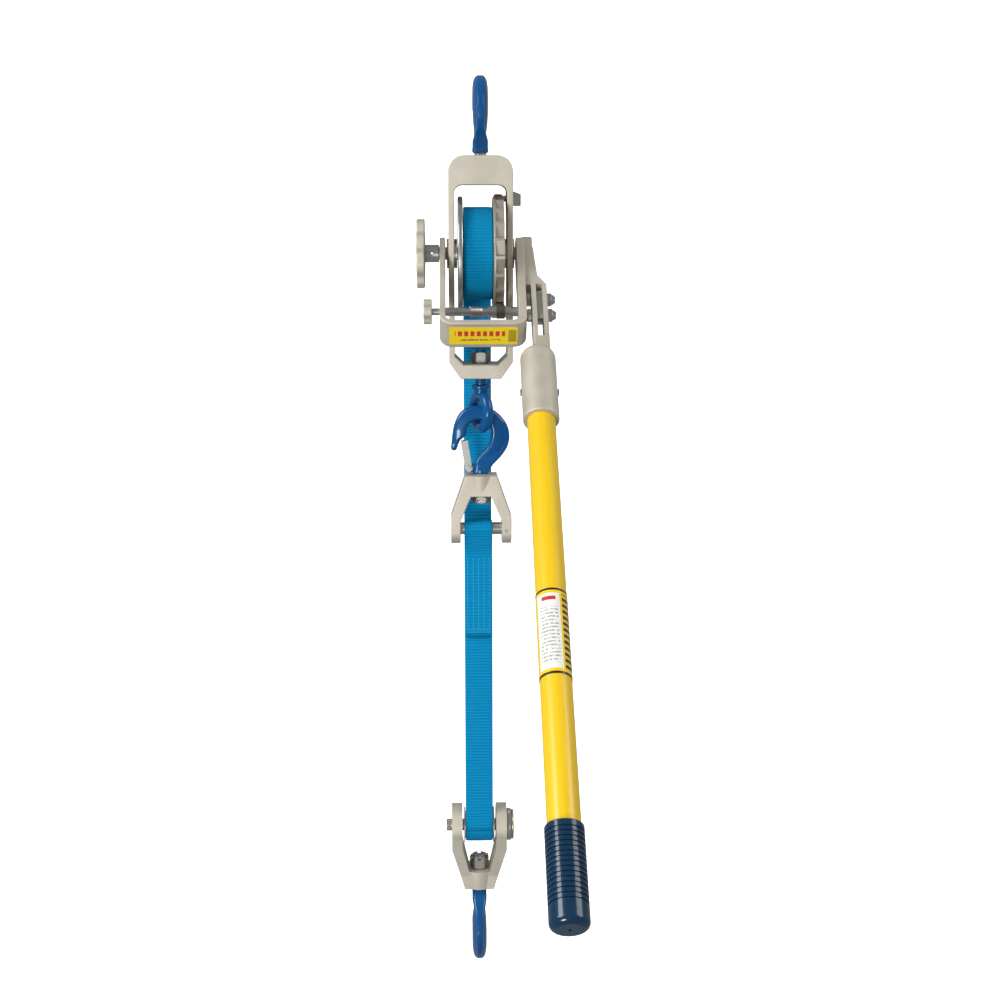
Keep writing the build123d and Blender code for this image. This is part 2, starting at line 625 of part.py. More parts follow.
def strap_outer_turn():
    """The outermost turn of strap, which the back run leaves at the drum's back."""
    x0, x1 = STRAP_X - STRAP_WIDTH / 2, STRAP_X + STRAP_WIDTH / 2
    return side_plate(band(PACK_RADIUS - STRAP_THICKNESS, PACK_RADIUS, -BACK_LEAN, WRAP_END), x0, x1)


def strap_back_run():
    """The run of strap down the back, from the drum to the sheave."""
    x0, x1 = STRAP_X - STRAP_WIDTH / 2, STRAP_X + STRAP_WIDTH / 2
    inner = PACK_RADIUS - STRAP_THICKNESS
    run = Polyline(
        polar(inner, -BACK_LEAN), polar(PACK_RADIUS, -BACK_LEAN),
        on_sheave(BIGHT_OUTER, -BACK_LEAN), on_sheave(BIGHT_INNER, -BACK_LEAN), close=True,
    )
    return side_plate(make_face(run), x0, x1)


def on_sheave(radius, angle):
    """A point round the sheave's axis, in the YZ plane."""
    y, z = polar(radius, angle)
    return (y, z - SHEAVE_DROP)


def strap_bight():
    """The half turn of strap round the sheave."""
    arc = band(BIGHT_INNER, BIGHT_OUTER, 180 - FRONT_LEAN, 360 - BACK_LEAN)
    arc = Pos(0, -SHEAVE_DROP) * arc
    return side_plate(arc, STRAP_X - STRAP_WIDTH / 2, STRAP_X + STRAP_WIDTH / 2)


def hung_from_pin(shape):
    """Leans a piece drawn straight below the clevis pin along the line of the strap."""
    return Pos(0, 0, -STRAP_PIN_DROP) * Rot(-FRONT_LEAN, 0, 0) * shape


def strap_end_loop():
    """The loop round the clevis pin and its sewn overlap of two plies."""
    loop = STRAP_PIN_RADIUS + 0.1 + STRAP_THICKNESS
    x0, x1 = STRAP_X - STRAP_WIDTH / 2, STRAP_X + STRAP_WIDTH / 2
    shape = x_rod(loop, x0, x1)
    join = -3.0 * STRAP_PIN_RADIUS
    neck = Polyline(
        (-0.93 * loop, -0.36 * loop), (0.93 * loop, -0.36 * loop),
        (STRAP_THICKNESS, join), (-STRAP_THICKNESS, join), close=True,
    )
    shape += side_plate(make_face(neck), x0, x1)
    shape += block(x0, x1, -STRAP_THICKNESS, STRAP_THICKNESS, -SEWN_LENGTH, join + 0.5)
    return hung_from_pin(shape - x_rod(STRAP_PIN_RADIUS + 0.1, x0 - 1, x1 + 1))


def strap_front_run():
    """The single ply from the sewn overlap down to the sheave."""
    length = (SHEAVE_DROP - STRAP_PIN_DROP) * cos(radians(FRONT_LEAN))
    x0, x1 = STRAP_X - STRAP_WIDTH / 2, STRAP_X + STRAP_WIDTH / 2
    return hung_from_pin(block(x0, x1, 0, STRAP_THICKNESS, -length, -SEWN_LENGTH))


# ---------------------------------------------------------------- lever and handle


def lever_yoke():
    """The U-shaped yoke with its crossbar in front and its lug on the right arm."""
    outer = Polyline(
        (LEFT_ARM_OUT, YOKE_WIDTH / 2), (RIGHT_ARM_OUT, YOKE_WIDTH / 2),
        (RIGHT_ARM_OUT, -YOKE_REACH), (LEFT_ARM_OUT, -YOKE_REACH), close=True,
    )
    inner_reach = -YOKE_REACH + CROSSBAR_THICKNESS
    inner = Polyline(
        (LEFT_ARM_IN, YOKE_WIDTH), (RIGHT_ARM_IN, YOKE_WIDTH),
        (RIGHT_ARM_IN, inner_reach), (LEFT_ARM_IN, inner_reach), close=True,
    )
    outer_face = make_face(outer)
    outer_face = fillet(outer_face.vertices().sort_by(Axis.Y)[:2], YOKE_OUTER_CORNER)
    inner_face = make_face(inner)
    inner_face = fillet(inner_face.vertices().sort_by(Axis.Y)[:2], YOKE_INNER_CORNER)
    half = YOKE_WIDTH / 2
    bow = front_plate(outer_face - inner_face, -half, half)
    below = block(LEFT_ARM_OUT - 1, RIGHT_ARM_OUT + 1, -half, half, -YOKE_REACH - 1, 0)
    bow &= below + x_rod(half, LEFT_ARM_OUT - 1, RIGHT_ARM_OUT + 1)
    bow = soften(bow, bow.edges().filter_by(lambda edge: abs(abs(edge.center().Y) - half) < 0.01), CASTING_EDGE)
    body = bow + yoke_lug()
    body -= x_rod(SHAFT_RADIUS + RUNNING, LEFT_ARM_OUT - 1, FORK_END_X + 1)
    body -= x_rod(SHAFT_RADIUS + 5, RIGHT_ARM_OUT + LUG_WEB - SHAFT_RECESS, FORK_END_X + 1)
    body -= x_rod(BOLT_RADIUS + 0.15, CHEEK_X - 1, FORK_END_X + 1, 0, -UPPER_BOLT_REACH)
    body -= x_rod(PAWL_SHAFT_RADIUS + RUNNING, LEFT_ARM_OUT - 1, RIGHT_ARM_OUT + 1, *PAWL_SHAFT)
    body -= block(SLOT_X, SLOT_X + SLOT_WIDTH, -LUG_DEPTH, LUG_DEPTH, -LUG_END - 1, -SLOT_TOP)
    return swung(body)


PAWL_SHAFT = (PAWL_SHAFT_SET_BACK, -PAWL_SHAFT_REACH)
SLOT_TOP = UPPER_BOLT_REACH - 13.0


def yoke_lug():
    """The outward lug of the right arm: a web that widens to the slotted end."""
    web_out = RIGHT_ARM_OUT + LUG_WEB
    shoulder = -LUG_SHOULDER
    pocket = -SLOT_TOP - 1.0
    outline = Polyline(
        (RIGHT_ARM_OUT - 1, 15.0), (web_out, 15.0), (web_out + 2.0, -20.0), (web_out + 4.0, shoulder),
        (FORK_END_X - 5.0, shoulder - 6.0), (FORK_END_X, shoulder - 14.0), (FORK_END_X, -LUG_END),
        (CHEEK_X, -LUG_END), (CHEEK_X, pocket), (RIGHT_ARM_OUT - 1, pocket), close=True,
    )
    depth = LUG_DEPTH / 2
    lug = front_plate(make_face(outline), -depth, depth)
    rims = lug.faces().filter_by(Axis.Y).edges()
    rims = rims.filter_by(lambda edge: edge.center().X > RIGHT_ARM_OUT)
    return soften(lug, rims, CASTING_EDGE)


def yoke_label():
    """The plain label plate on the crossbar's outer face."""
    middle = (LEFT_ARM_OUT + RIGHT_ARM_OUT) / 2
    half = 0.39 * (RIGHT_ARM_OUT - LEFT_ARM_OUT)
    deep = 0.7 * YOKE_WIDTH / 2
    plate = block(middle - half, middle + half, -deep, deep, -YOKE_REACH - 0.4, -YOKE_REACH)
    return swung(plate)


def link_plate():
    """The steel plate that joins the yoke's lug to the handle's fork."""
    half = 10.0
    x0, x1 = SLOT_X + LINK_GAP, SLOT_X + SLOT_WIDTH - LINK_GAP
    plate = block(x0, x1, -half, half, -LOWER_BOLT_REACH, -UPPER_BOLT_REACH)
    plate += x_rod(half, x0, x1, 0, -UPPER_BOLT_REACH) + x_rod(half, x0, x1, 0, -LOWER_BOLT_REACH)
    for reach in (UPPER_BOLT_REACH, LOWER_BOLT_REACH):
        plate -= x_rod(BOLT_RADIUS + 0.15, x0 - 1, x1 + 1, 0, -reach)
    return swung(plate)


def along_x(shape, x, reach):
    """Turns a fastener drawn along +Z to +X, at a bolt's place on the lever."""
    return swung(Pos(x, 0, -reach) * Rot(0, 90, 0) * shape)


def lug_bolts():
    """The two hexagon bolts of the link plate."""
    length = FORK_END_X - CHEEK_X + NUT_HEIGHT + 1.5
    bolts = []
    for reach in (UPPER_BOLT_REACH, LOWER_BOLT_REACH):
        bolt = hex_prism(BOLT_HEAD_FLATS, -BOLT_HEAD_HEIGHT, 0) + z_rod(BOLT_RADIUS, 0, length)
        bolts.append(along_x(bolt, CHEEK_X, reach))
    return Compound(children=bolts)


def lug_nuts():
    """The two lock nuts, each with its domed collar."""
    nuts = []
    for reach in (UPPER_BOLT_REACH, LOWER_BOLT_REACH):
        nut = hex_prism(BOLT_HEAD_FLATS, 0, NUT_HEIGHT - 2.0) + z_rod(5.3, NUT_HEIGHT - 2.5, NUT_HEIGHT)
        nut -= z_rod(BOLT_RADIUS + FIT, -1, NUT_HEIGHT + 1)
        nuts.append(along_x(nut, FORK_END_X, reach))
    return Compound(children=nuts)


def handle_socket():
    """The cast socket of the handle, with the fork that takes the link plate."""
    fork_half = LUG_DEPTH / 2
    top = LUG_END + 2 * LINK_GAP
    barrel = z_rod(SOCKET_RADIUS, -SOCKET_END, -SOCKET_START, HANDLE_X)
    barrel = fillet(barrel.edges().filter_by(GeomType.CIRCLE).sort_by(Axis.Z)[-1], 9.0)
    barrel = fillet(barrel.edges().filter_by(GeomType.CIRCLE).sort_by(Axis.Z)[0], 1.5)
    fork = block(CHEEK_X, FORK_END_X, -fork_half, fork_half, -SOCKET_START - 12, -top)
    fork = soften(fork, fork.edges().filter_by(Axis.Z), 2.0)
    body = barrel + fork
    body -= block(SLOT_X, SLOT_X + SLOT_WIDTH, -fork_half - 1, fork_half + 1, -SLOT_BOTTOM, -top + 1)
    body -= z_rod(TUBE_RADIUS + FIT, -SOCKET_END - 1, -TUBE_START, HANDLE_X)
    body -= x_rod(BOLT_RADIUS + 0.15, CHEEK_X - 1, FORK_END_X + 1, 0, -LOWER_BOLT_REACH)
    body -= x_rod(SOCKET_PIN_RADIUS + FIT, HANDLE_X - SOCKET_RADIUS - 1, HANDLE_X + SOCKET_RADIUS + 1, 0, -SOCKET_PIN)
    return swung(body)


SLOT_BOTTOM = 141.0
SOCKET_PIN = 212.0
SOCKET_PIN_RADIUS = 2.5


def socket_pin():
    """The pin through the socket and the tube, headed at both ends."""
    left, right = HANDLE_X - SOCKET_RADIUS, HANDLE_X + SOCKET_RADIUS
    pin = x_rod(SOCKET_PIN_RADIUS, left - 0.2, right + 0.2, 0, -SOCKET_PIN)
    heads = x_rod(3.6, left - 1.4, left - 0.2, 0, -SOCKET_PIN) + x_rod(3.6, right + 0.2, right + 1.4, 0, -SOCKET_PIN)
    return swung(pin + heads)


def handle_tube():
    """The fibreglass tube."""
    end = HANDLE_END - GRIP_END_WALL - 0.2
    tube = z_ring(TUBE_RADIUS, TUBE_RADIUS - TUBE_WALL, -end, -TUBE_START - 0.2, HANDLE_X)
    reach = TUBE_RADIUS + 1
    return swung(tube - x_rod(SOCKET_PIN_RADIUS + FIT, HANDLE_X - reach, HANDLE_X + reach, 0, -SOCKET_PIN))


def handle_label():
    """The thin label sleeve round the tube."""
    outer = TUBE_RADIUS + SLEEVE_THICKNESS
    return swung(z_ring(outer, TUBE_RADIUS + 0.01, -SLEEVE_START - SLEEVE_LENGTH, -SLEEVE_START, HANDLE_X))


def handle_grip():
    """The ribbed vinyl grip, closed at the end but for a small vent."""
    start = HANDLE_END - GRIP_LENGTH
    grip = z_rod(GRIP_RADIUS, -HANDLE_END, -start, HANDLE_X)
    grip = fillet(grip.edges().filter_by(GeomType.CIRCLE).sort_by(Axis.Z)[0], 6.0)
    grip = fillet(grip.edges().filter_by(GeomType.CIRCLE).sort_by(Axis.Z)[-1], 1.2)
    floor = HANDLE_END - GRIP_END_WALL
    grip -= z_rod(TUBE_RADIUS + FIT, -floor, -start + 1, HANDLE_X)
    grip -= z_rod(1.6, -HANDLE_END - 1, -floor + 1, HANDLE_X)
    for rib in range(GRIP_RIBS):
        middle = start + 6.5 + rib * GRIP_RIB_PITCH
        grip -= z_ring(GRIP_RADIUS + 1, GRIP_RADIUS - GRIP_GROOVE_DEPTH, -middle - 0.8, -middle + 0.8, HANDLE_X)
    return swung(grip)


# ---------------------------------------------------------------- pawls


def pawl_plate(hub, hub_radius, nose, bore, x0, x1):
    """A pawl: a hub, an arm that narrows to its nose, and room for the wheel's teeth."""
    along = Vector(nose[0] - hub[0], nose[1] - hub[1])
    side = Vector(-along.Y, along.X).normalized()
    wide, narrow = 0.92 * hub_radius, 3.0
    arm = Polyline(
        (hub[0] + side.X * wide, hub[1] + side.Y * wide),
        (hub[0] - side.X * wide, hub[1] - side.Y * wide),
        (nose[0] - side.X * narrow, nose[1] - side.Y * narrow),
        (nose[0] + side.X * narrow, nose[1] + side.Y * narrow),
        close=True,
    )
    plate = side_plate(make_face(arm), x0, x1) + x_rod(hub_radius, x0, x1, *hub)
    plate -= x_rod(bore, x0 - 1, x1 + 1, *hub)
    return plate - x_rod(WHEEL_RADIUS + TIP_CLEARANCE, x0 - 1, x1 + 1)


PAWL_X = TEETH_X + (TOOTH_WIDTH - PAWL_THICKNESS) / 2


def drive_pawl():
    """The drive pawl, whose nose rides just clear of the wheel's teeth."""
    nose = polar(WHEEL_RADIUS + 2.0, -90 + DRIVE_NOSE_ANGLE)
    return swung(pawl_plate(PAWL_SHAFT, PAWL_HUB_RADIUS, nose, PAWL_SHAFT_RADIUS + FIT, PAWL_X, PAWL_X + PAWL_THICKNESS))


def drive_pawl_shaft():
    """The pawl's shaft, through both arms of the yoke to the knob."""
    start = LEFT_ARM_OUT - PAWL_KNOB_STEM - PAWL_KNOB_THICKNESS
    shaft = x_rod(PAWL_SHAFT_RADIUS, start, RIGHT_ARM_OUT - 2.0, *PAWL_SHAFT)
    return swung(chamfer(shaft.edges().filter_by(GeomType.CIRCLE), 0.5))


def pawl_knob():
    """The four-lobed knob that throws the drive pawl in or out."""
    x1 = LEFT_ARM_OUT - PAWL_KNOB_STEM
    x0 = x1 - PAWL_KNOB_THICKNESS
    outline = Pos(*PAWL_SHAFT) * star(PAWL_KNOB_RADIUS - 4.5, PAWL_KNOB_RADIUS, 4)
    knob = side_plate(outline, x0, x1)
    knob = soften(knob, knob.faces().filter_by(Axis.X).edges(), 1.0)
    return swung(knob - x_rod(PAWL_SHAFT_RADIUS + FIT, x0 - 1, x1 + 1, *PAWL_SHAFT))


def pawl_spacers():
    """The long sleeve, the grooved collar beside the pawl and two thin collars."""
    bore = PAWL_SHAFT_RADIUS + FIT
    sleeve = x_ring(PAWL_SLEEVE_RADIUS, bore, LEFT_ARM_IN + SIDE_PLAY, PAWL_X - 9.5, *PAWL_SHAFT)
    first = x_ring(6.9, bore, PAWL_X - 9.2, PAWL_X - 0.2, *PAWL_SHAFT)
    first -= x_ring(8, 6.1, PAWL_X - 6.4, PAWL_X - 5.2, *PAWL_SHAFT)
    end = PAWL_X + PAWL_THICKNESS
    space = RIGHT_ARM_IN - SIDE_PLAY - end
    thin = x_ring(6.2, bore, end + 0.2, end + 0.5 * space, *PAWL_SHAFT)
    last = x_ring(5.2, bore, end + 0.5 * space + 0.2, RIGHT_ARM_IN - SIDE_PLAY, *PAWL_SHAFT)
    return Compound(children=[swung(sleeve), swung(first), swung(thin), swung(last)])


STOP_PIVOT = (STOP_PIVOT_Y, STOP_PIVOT_Z)


def stop_pawl():
    """The stop pawl behind the wheel, which holds the load between strokes."""
    nose = polar(WHEEL_RADIUS + 2.0, 90 - STOP_PAWL_ANGLE - STOP_NOSE_ANGLE)
    return pawl_plate(STOP_PIVOT, STOP_HUB_RADIUS, nose, STOP_SHAFT_RADIUS + FIT, PAWL_X, PAWL_X + PAWL_THICKNESS)


def stop_pawl_shaft():
    """The stop pawl's shaft, through the frame's ear to the trip lug."""
    end = FRAME_HALF + 1.4 + TRIP_LUG_WIDTH
    shaft = x_rod(STOP_SHAFT_RADIUS, PAWL_X - 1.5, end, *STOP_PIVOT)
    return chamfer(shaft.edges().filter_by(GeomType.CIRCLE), 0.5)


def trip_lug():
    """The square lug that the yoke trips to lift the stop pawl, with a sloping top."""
    x0 = FRAME_HALF + 1.4
    x1 = x0 + TRIP_LUG_WIDTH
    half = TRIP_LUG_HEIGHT / 2
    outline = Polyline(
        (x0, STOP_PIVOT_Z + half), (x1, STOP_PIVOT_Z + half - 3.5), (x1, STOP_PIVOT_Z - half),
        (x0, STOP_PIVOT_Z - half), close=True,
    )
    lug = front_plate(make_face(outline), STOP_PIVOT_Y - 7, STOP_PIVOT_Y + 7)
    lug = soften(lug, lug.edges(), 0.8)
    return lug - x_rod(STOP_SHAFT_RADIUS + FIT, x0 - 1, x1 + 1, *STOP_PIVOT)


# ---------------------------------------------------------------- eye and strap clevis


def swivel_eye():
    """The swivel eye: shank, collar and ring."""
    ring = Rot(0, 0, EYE_TURN) * Rot(0, 90, 0) * Torus(EYE_OUTER_RADIUS - EYE_WIRE_RADIUS, EYE_WIRE_RADIUS)
    collar = z_rod(EYE_COLLAR_RADIUS, EYE_COLLAR_TOP - EYE_COLLAR_HEIGHT, EYE_COLLAR_TOP)
    collar = fillet(collar.edges().filter_by(GeomType.CIRCLE), 1.4)
    neck = z_rod(0.8 * EYE_COLLAR_RADIUS, EYE_CENTRE + EYE_OUTER_RADIUS - EYE_WIRE_RADIUS, EYE_COLLAR_TOP - 1)
    shank = z_rod(HOOK_SHANK_RADIUS, EYE_COLLAR_TOP - 1, WINDOW_BOTTOM + SIDE_PLAY + NUT_THICKNESS + 2.0)
    return Pos(0, 0, EYE_CENTRE) * ring + neck + collar + shank


def swivel_nut(seat, flats, height):
    """A hexagon nut standing on a seat, with a hole for its pin in one flat."""
    nut = hex_prism(flats, seat, seat + height)
    nut -= z_rod(HOOK_SHANK_RADIUS + FIT, seat - 1, seat + height + 1)
    return nut


def strap_clevis():
    """The cast clevis at the strap's end: hub, two spread legs and pin bores."""
    pin_z = -STRAP_PIN_DROP
    knee = pin_z + CLEVIS_SHOULDER
    half_gap = CLEVIS_GAP / 2
    bottom = pin_z - CLEVIS_LEG_DEPTH / 2 - 2.0
    crotch = CLEVIS_HUB_BOTTOM
    outer = Polyline(
        (-CLEVIS_HUB_RADIUS, CLEVIS_TOP), (CLEVIS_HUB_RADIUS, CLEVIS_TOP), (CLEVIS_HALF, knee),
        (CLEVIS_HALF, bottom), (half_gap, bottom), (half_gap, knee - 4.0), (11.5, crotch),
        (-11.5, crotch), (-half_gap, knee - 4.0), (-half_gap, bottom),
        (-CLEVIS_HALF, bottom), (-CLEVIS_HALF, knee), close=True,
    )
    depth = CLEVIS_LEG_DEPTH / 2
    body = front_plate(make_face(outer), -depth, depth)
    body &= clevis_side(depth, bottom, knee)
    body = soften(body, body.edges().filter_by(lambda edge: abs(abs(edge.center().Y) - depth) < 0.01), CASTING_EDGE)
    hub = Pos(0, 0, (CLEVIS_TOP + CLEVIS_HUB_BOTTOM) / 2) * Cone(
        CLEVIS_HUB_RADIUS - 4.0, CLEVIS_HUB_RADIUS, CLEVIS_HUB_HEIGHT
    )
    body += hub
    body -= z_rod(HOOK_SHANK_RADIUS + RUNNING, CLEVIS_HUB_BOTTOM - 1, CLEVIS_TOP + 1)
    body -= x_rod(STRAP_PIN_RADIUS + FIT, -CLEVIS_HALF - 1, CLEVIS_HALF + 1, 0, pin_z)
    return body - y_rod(2.0 + FIT, -depth - 1, depth + 1, CLEVIS_LOCK_X, pin_z)


CLEVIS_LOCK_X = CLEVIS_GAP / 2 + CLEVIS_LEG / 2


def clevis_side(depth, bottom, knee):
    """What the clevis fills as seen from the side: a bar with round lower ends."""
    face = Pos(0, (CLEVIS_TOP + bottom) / 2) * Rectangle(2 * depth, CLEVIS_TOP - bottom)
    face = fillet(face.vertices().sort_by(Axis.Y)[:2], depth - 0.5)
    return side_plate(face, -CLEVIS_HALF - 1, CLEVIS_HALF + 1)


def strap_clevis_pin():
    """The pin that the strap's loop hangs from, cross-drilled for its lock pin."""
    end = CLEVIS_HALF - 0.4
    pin = x_rod(STRAP_PIN_RADIUS, -end, end, 0, -STRAP_PIN_DROP)
    pin = chamfer(pin.edges().filter_by(GeomType.CIRCLE), 0.6)
    return pin - y_rod(2.0 + FIT, -STRAP_PIN_RADIUS - 1, STRAP_PIN_RADIUS + 1, CLEVIS_LOCK_X, -STRAP_PIN_DROP)


def clevis_lock_pin():
    """The roll pin that locks the clevis pin, sunk below the leg's faces."""
    reach = CLEVIS_LEG_DEPTH / 2 - 1.5
    return y_rod(2.0, -reach, reach, CLEVIS_LOCK_X, -STRAP_PIN_DROP)


# ---------------------------------------------------------------- lower block


def block_clevis():
    """The cast body of the lower block: two round cheeks that close to the hub."""
    half_gap = BLOCK_HALF
    outside = half_gap + BLOCK_CHEEK
    axis = -SHEAVE_DROP
    knee = axis - 24.0
    profile = Polyline(
        (outside, axis + BLOCK_CHEEK_RADIUS + 1), (half_gap, axis + BLOCK_CHEEK_RADIUS + 1),
        (half_gap, knee + 1.0), (12.5, BLOCK_CROTCH), (-12.5, BLOCK_CROTCH), (-half_gap, knee + 1.0),
        (-half_gap, axis + BLOCK_CHEEK_RADIUS + 1), (-outside, axis + BLOCK_CHEEK_RADIUS + 1),
        (-outside, knee), (-BLOCK_HUB_RADIUS, BLOCK_HUB_BOTTOM), (BLOCK_HUB_RADIUS, BLOCK_HUB_BOTTOM),
        (outside, knee), close=True,
    )
    deep = BLOCK_CHEEK_RADIUS
    body = front_plate(make_face(profile), -deep, deep)
    hub_half = BLOCK_HUB_RADIUS - 2.0
    taper = Polyline(
        (-deep, axis), (deep, axis), (hub_half, BLOCK_CROTCH - 6), (hub_half, BLOCK_HUB_BOTTOM),
        (-hub_half, BLOCK_HUB_BOTTOM), (-hub_half, BLOCK_CROTCH - 6), close=True,
    )
    side = side_plate(make_face(taper), -outside, outside) + x_rod(deep, -outside, outside, 0, axis)
    body &= side
    body = soften(body, body.faces().filter_by(Axis.X).edges(), 1.0)
    hub = Pos(0, 0, (BLOCK_CROTCH + BLOCK_HUB_BOTTOM) / 2) * Cone(
        BLOCK_HUB_RADIUS, BLOCK_HUB_RADIUS + 1.5, BLOCK_CROTCH - BLOCK_HUB_BOTTOM
    )
    body += hub
    body -= z_rod(HOOK_SHANK_RADIUS + RUNNING, BLOCK_HUB_BOTTOM - 1, BLOCK_CROTCH + 1)
    body -= x_rod(SHEAVE_PIN_RADIUS + FIT, -outside - 1, outside + 1, 0, axis)
    return Pos(STRAP_X, 0, 0) * body


def sheave():
    """The flanged sheave that the strap turns round."""
    half = STRAP_SPACE / 2
    wheel = x_rod(SHEAVE_RADIUS, -half, half, 0, -SHEAVE_DROP)
    for side in (-1, 1):
        inner, outer = side * half, side * (half + SHEAVE_FLANGE)
        wheel += x_rod(SHEAVE_FLANGE_RADIUS, min(inner, outer), max(inner, outer), 0, -SHEAVE_DROP)
    bore = SHEAVE_PIN_RADIUS + 2.0
    return Pos(STRAP_X, 0, 0) * (wheel - x_rod(bore, -BLOCK_HALF, BLOCK_HALF, 0, -SHEAVE_DROP))


def sheave_bushing():
    """The bronze bushing pressed into the sheave."""
    half = STRAP_SPACE / 2 + SHEAVE_FLANGE
    return Pos(STRAP_X, 0, 0) * x_ring(
        SHEAVE_PIN_RADIUS + 2.0 - FIT, SHEAVE_PIN_RADIUS + RUNNING, -half, half, 0, -SHEAVE_DROP
    )


def sheave_pin():
    """The headed pin of the sheave, with a groove for its clip at the right."""
    outside = BLOCK_HALF + BLOCK_CHEEK
    pin = x_rod(SHEAVE_PIN_RADIUS, -outside - 6.5, outside + 7.0, 0, -SHEAVE_DROP)
    pin = chamfer(pin.edges().filter_by(GeomType.CIRCLE), 0.8)
    head = x_rod(PIN_HEAD_RADIUS, outside + 0.1, outside + 0.1 + PIN_HEAD_THICKNESS, 0, -SHEAVE_DROP)
    head = chamfer(head.edges().filter_by(GeomType.CIRCLE), 1.0)
    pin += head
    pin -= x_rod(SHEAVE_PIN_RADIUS + 5.5, outside + 3.0, outside + 20, 0, -SHEAVE_DROP) - x_rod(
        SHEAVE_PIN_RADIUS, outside, outside + 20, 0, -SHEAVE_DROP
    )
    pin -= y_rod(1.8 + FIT, -SHEAVE_PIN_RADIUS - 1, SHEAVE_PIN_RADIUS + 1, -outside - 3.6, -SHEAVE_DROP)
    return Pos(STRAP_X, 0, 0) * pin


def sheave_cotter():
    """The cotter through the pin's left end."""
    place = -BLOCK_HALF - BLOCK_CHEEK - 3.6
    reach = SHEAVE_PIN_RADIUS + 2.5
    return Pos(STRAP_X, 0, 0) * y_rod(1.8, -reach, reach, place, -SHEAVE_DROP)


def sheave_clip():
    """The yellow-plated spring clip that stands round the pin's head."""
    outside = BLOCK_HALF + BLOCK_CHEEK + 0.3 + PIN_HEAD_THICKNESS
    wire = Rot(0, 90, 0) * Torus(PIN_HEAD_RADIUS - 2.6, 1.3)
    return Pos(STRAP_X + outside + 1.3, 0, -SHEAVE_DROP) * wire


def block_hook_nut():
    """The castle nut in the block's crotch."""
    seat = BLOCK_CROTCH + SIDE_PLAY
    nut = swivel_nut(seat, HOOK_NUT_FLATS, CASTLE_HEIGHT)
    top = seat + CASTLE_HEIGHT
    for slot in range(3):
        cut = block(-HOOK_NUT_FLATS, HOOK_NUT_FLATS, -1.8, 1.8, top - 4.0, top + 1)
        nut -= Rot(0, 0, 30 + 60 * slot) * cut
    return Pos(STRAP_X, 0, 0) * nut


CASTLE_HEIGHT = 15.0


def block_hook_cotter():
    """The cotter across the castle nut."""
    level = BLOCK_CROTCH + SIDE_PLAY + CASTLE_HEIGHT - 2.0
    return Pos(STRAP_X, 0, 0) * Rot(0, 0, 30) * x_rod(1.5, -HOOK_NUT_FLATS / 2 - 1.5, HOOK_NUT_FLATS / 2 + 1.5, 0, level)


# ---------------------------------------------------------------- all nodes


def top_shank():
    """Length of the top hook's shank, through the bar to the end of its nut."""
    return TOP_HOOK_BASE - WINDOW_TOP - 1.5


def strap_shank():
    """Length of the strap hook's shank, through the clevis and its nut."""
    return SHOULDER_GAP + CLEVIS_HUB_HEIGHT + SIDE_PLAY + STRAP_NUT_HEIGHT - 0.5


def block_shank():
    """Length of the block hook's shank, to just under the castle nut's slots."""
    return BLOCK_CROTCH - BLOCK_HOOK_BASE + SIDE_PLAY + CASTLE_HEIGHT - 0.5


STRAP_NUT_HEIGHT = 8.5


def block_hook():
    """The block's hook, cross-drilled for the cotter of its castle nut."""
    level = BLOCK_CROTCH + SIDE_PLAY + CASTLE_HEIGHT - 2.0
    drill = Rot(0, 0, 30) * x_rod(1.5 + FIT, -HOOK_NUT_FLATS, HOOK_NUT_FLATS, 0, level)
    body = at_block(hook(BLOCK_HOOK_HEIGHT, BLOCK_HOOK_THICKNESS, block_shank()))
    return body - Pos(STRAP_X, 0, 0) * drill


def top_hook_nut():
    """The nut and washer of the top hook, hidden in the bar's pocket."""
    washer_top = TOP_NUT_SEAT - SIDE_PLAY
    washer = z_ring(13.0, HOOK_SHANK_RADIUS + FIT, washer_top - 2.0, washer_top)
    nut = swivel_nut(washer_top - 2.1 - NUT_THICKNESS, HOOK_NUT_FLATS, NUT_THICKNESS)
    return Compound(children=[washer, nut])


def strap_hook_nut():
    """The nut of the strap's hook, under the clevis hub, with its pin hole in front."""
    nut = swivel_nut(CLEVIS_HUB_BOTTOM - SIDE_PLAY - STRAP_NUT_HEIGHT, HOOK_NUT_FLATS, STRAP_NUT_HEIGHT)
    level = CLEVIS_HUB_BOTTOM - SIDE_PLAY - STRAP_NUT_HEIGHT / 2
    return nut - y_rod(1.5, -HOOK_NUT_FLATS, -HOOK_SHANK_RADIUS, -3.5, level)


def eye_nut():
    """The nut of the swivel eye, inside the frame's window."""
    return swivel_nut(WINDOW_BOTTOM + SIDE_PLAY, 19.0, NUT_THICKNESS)


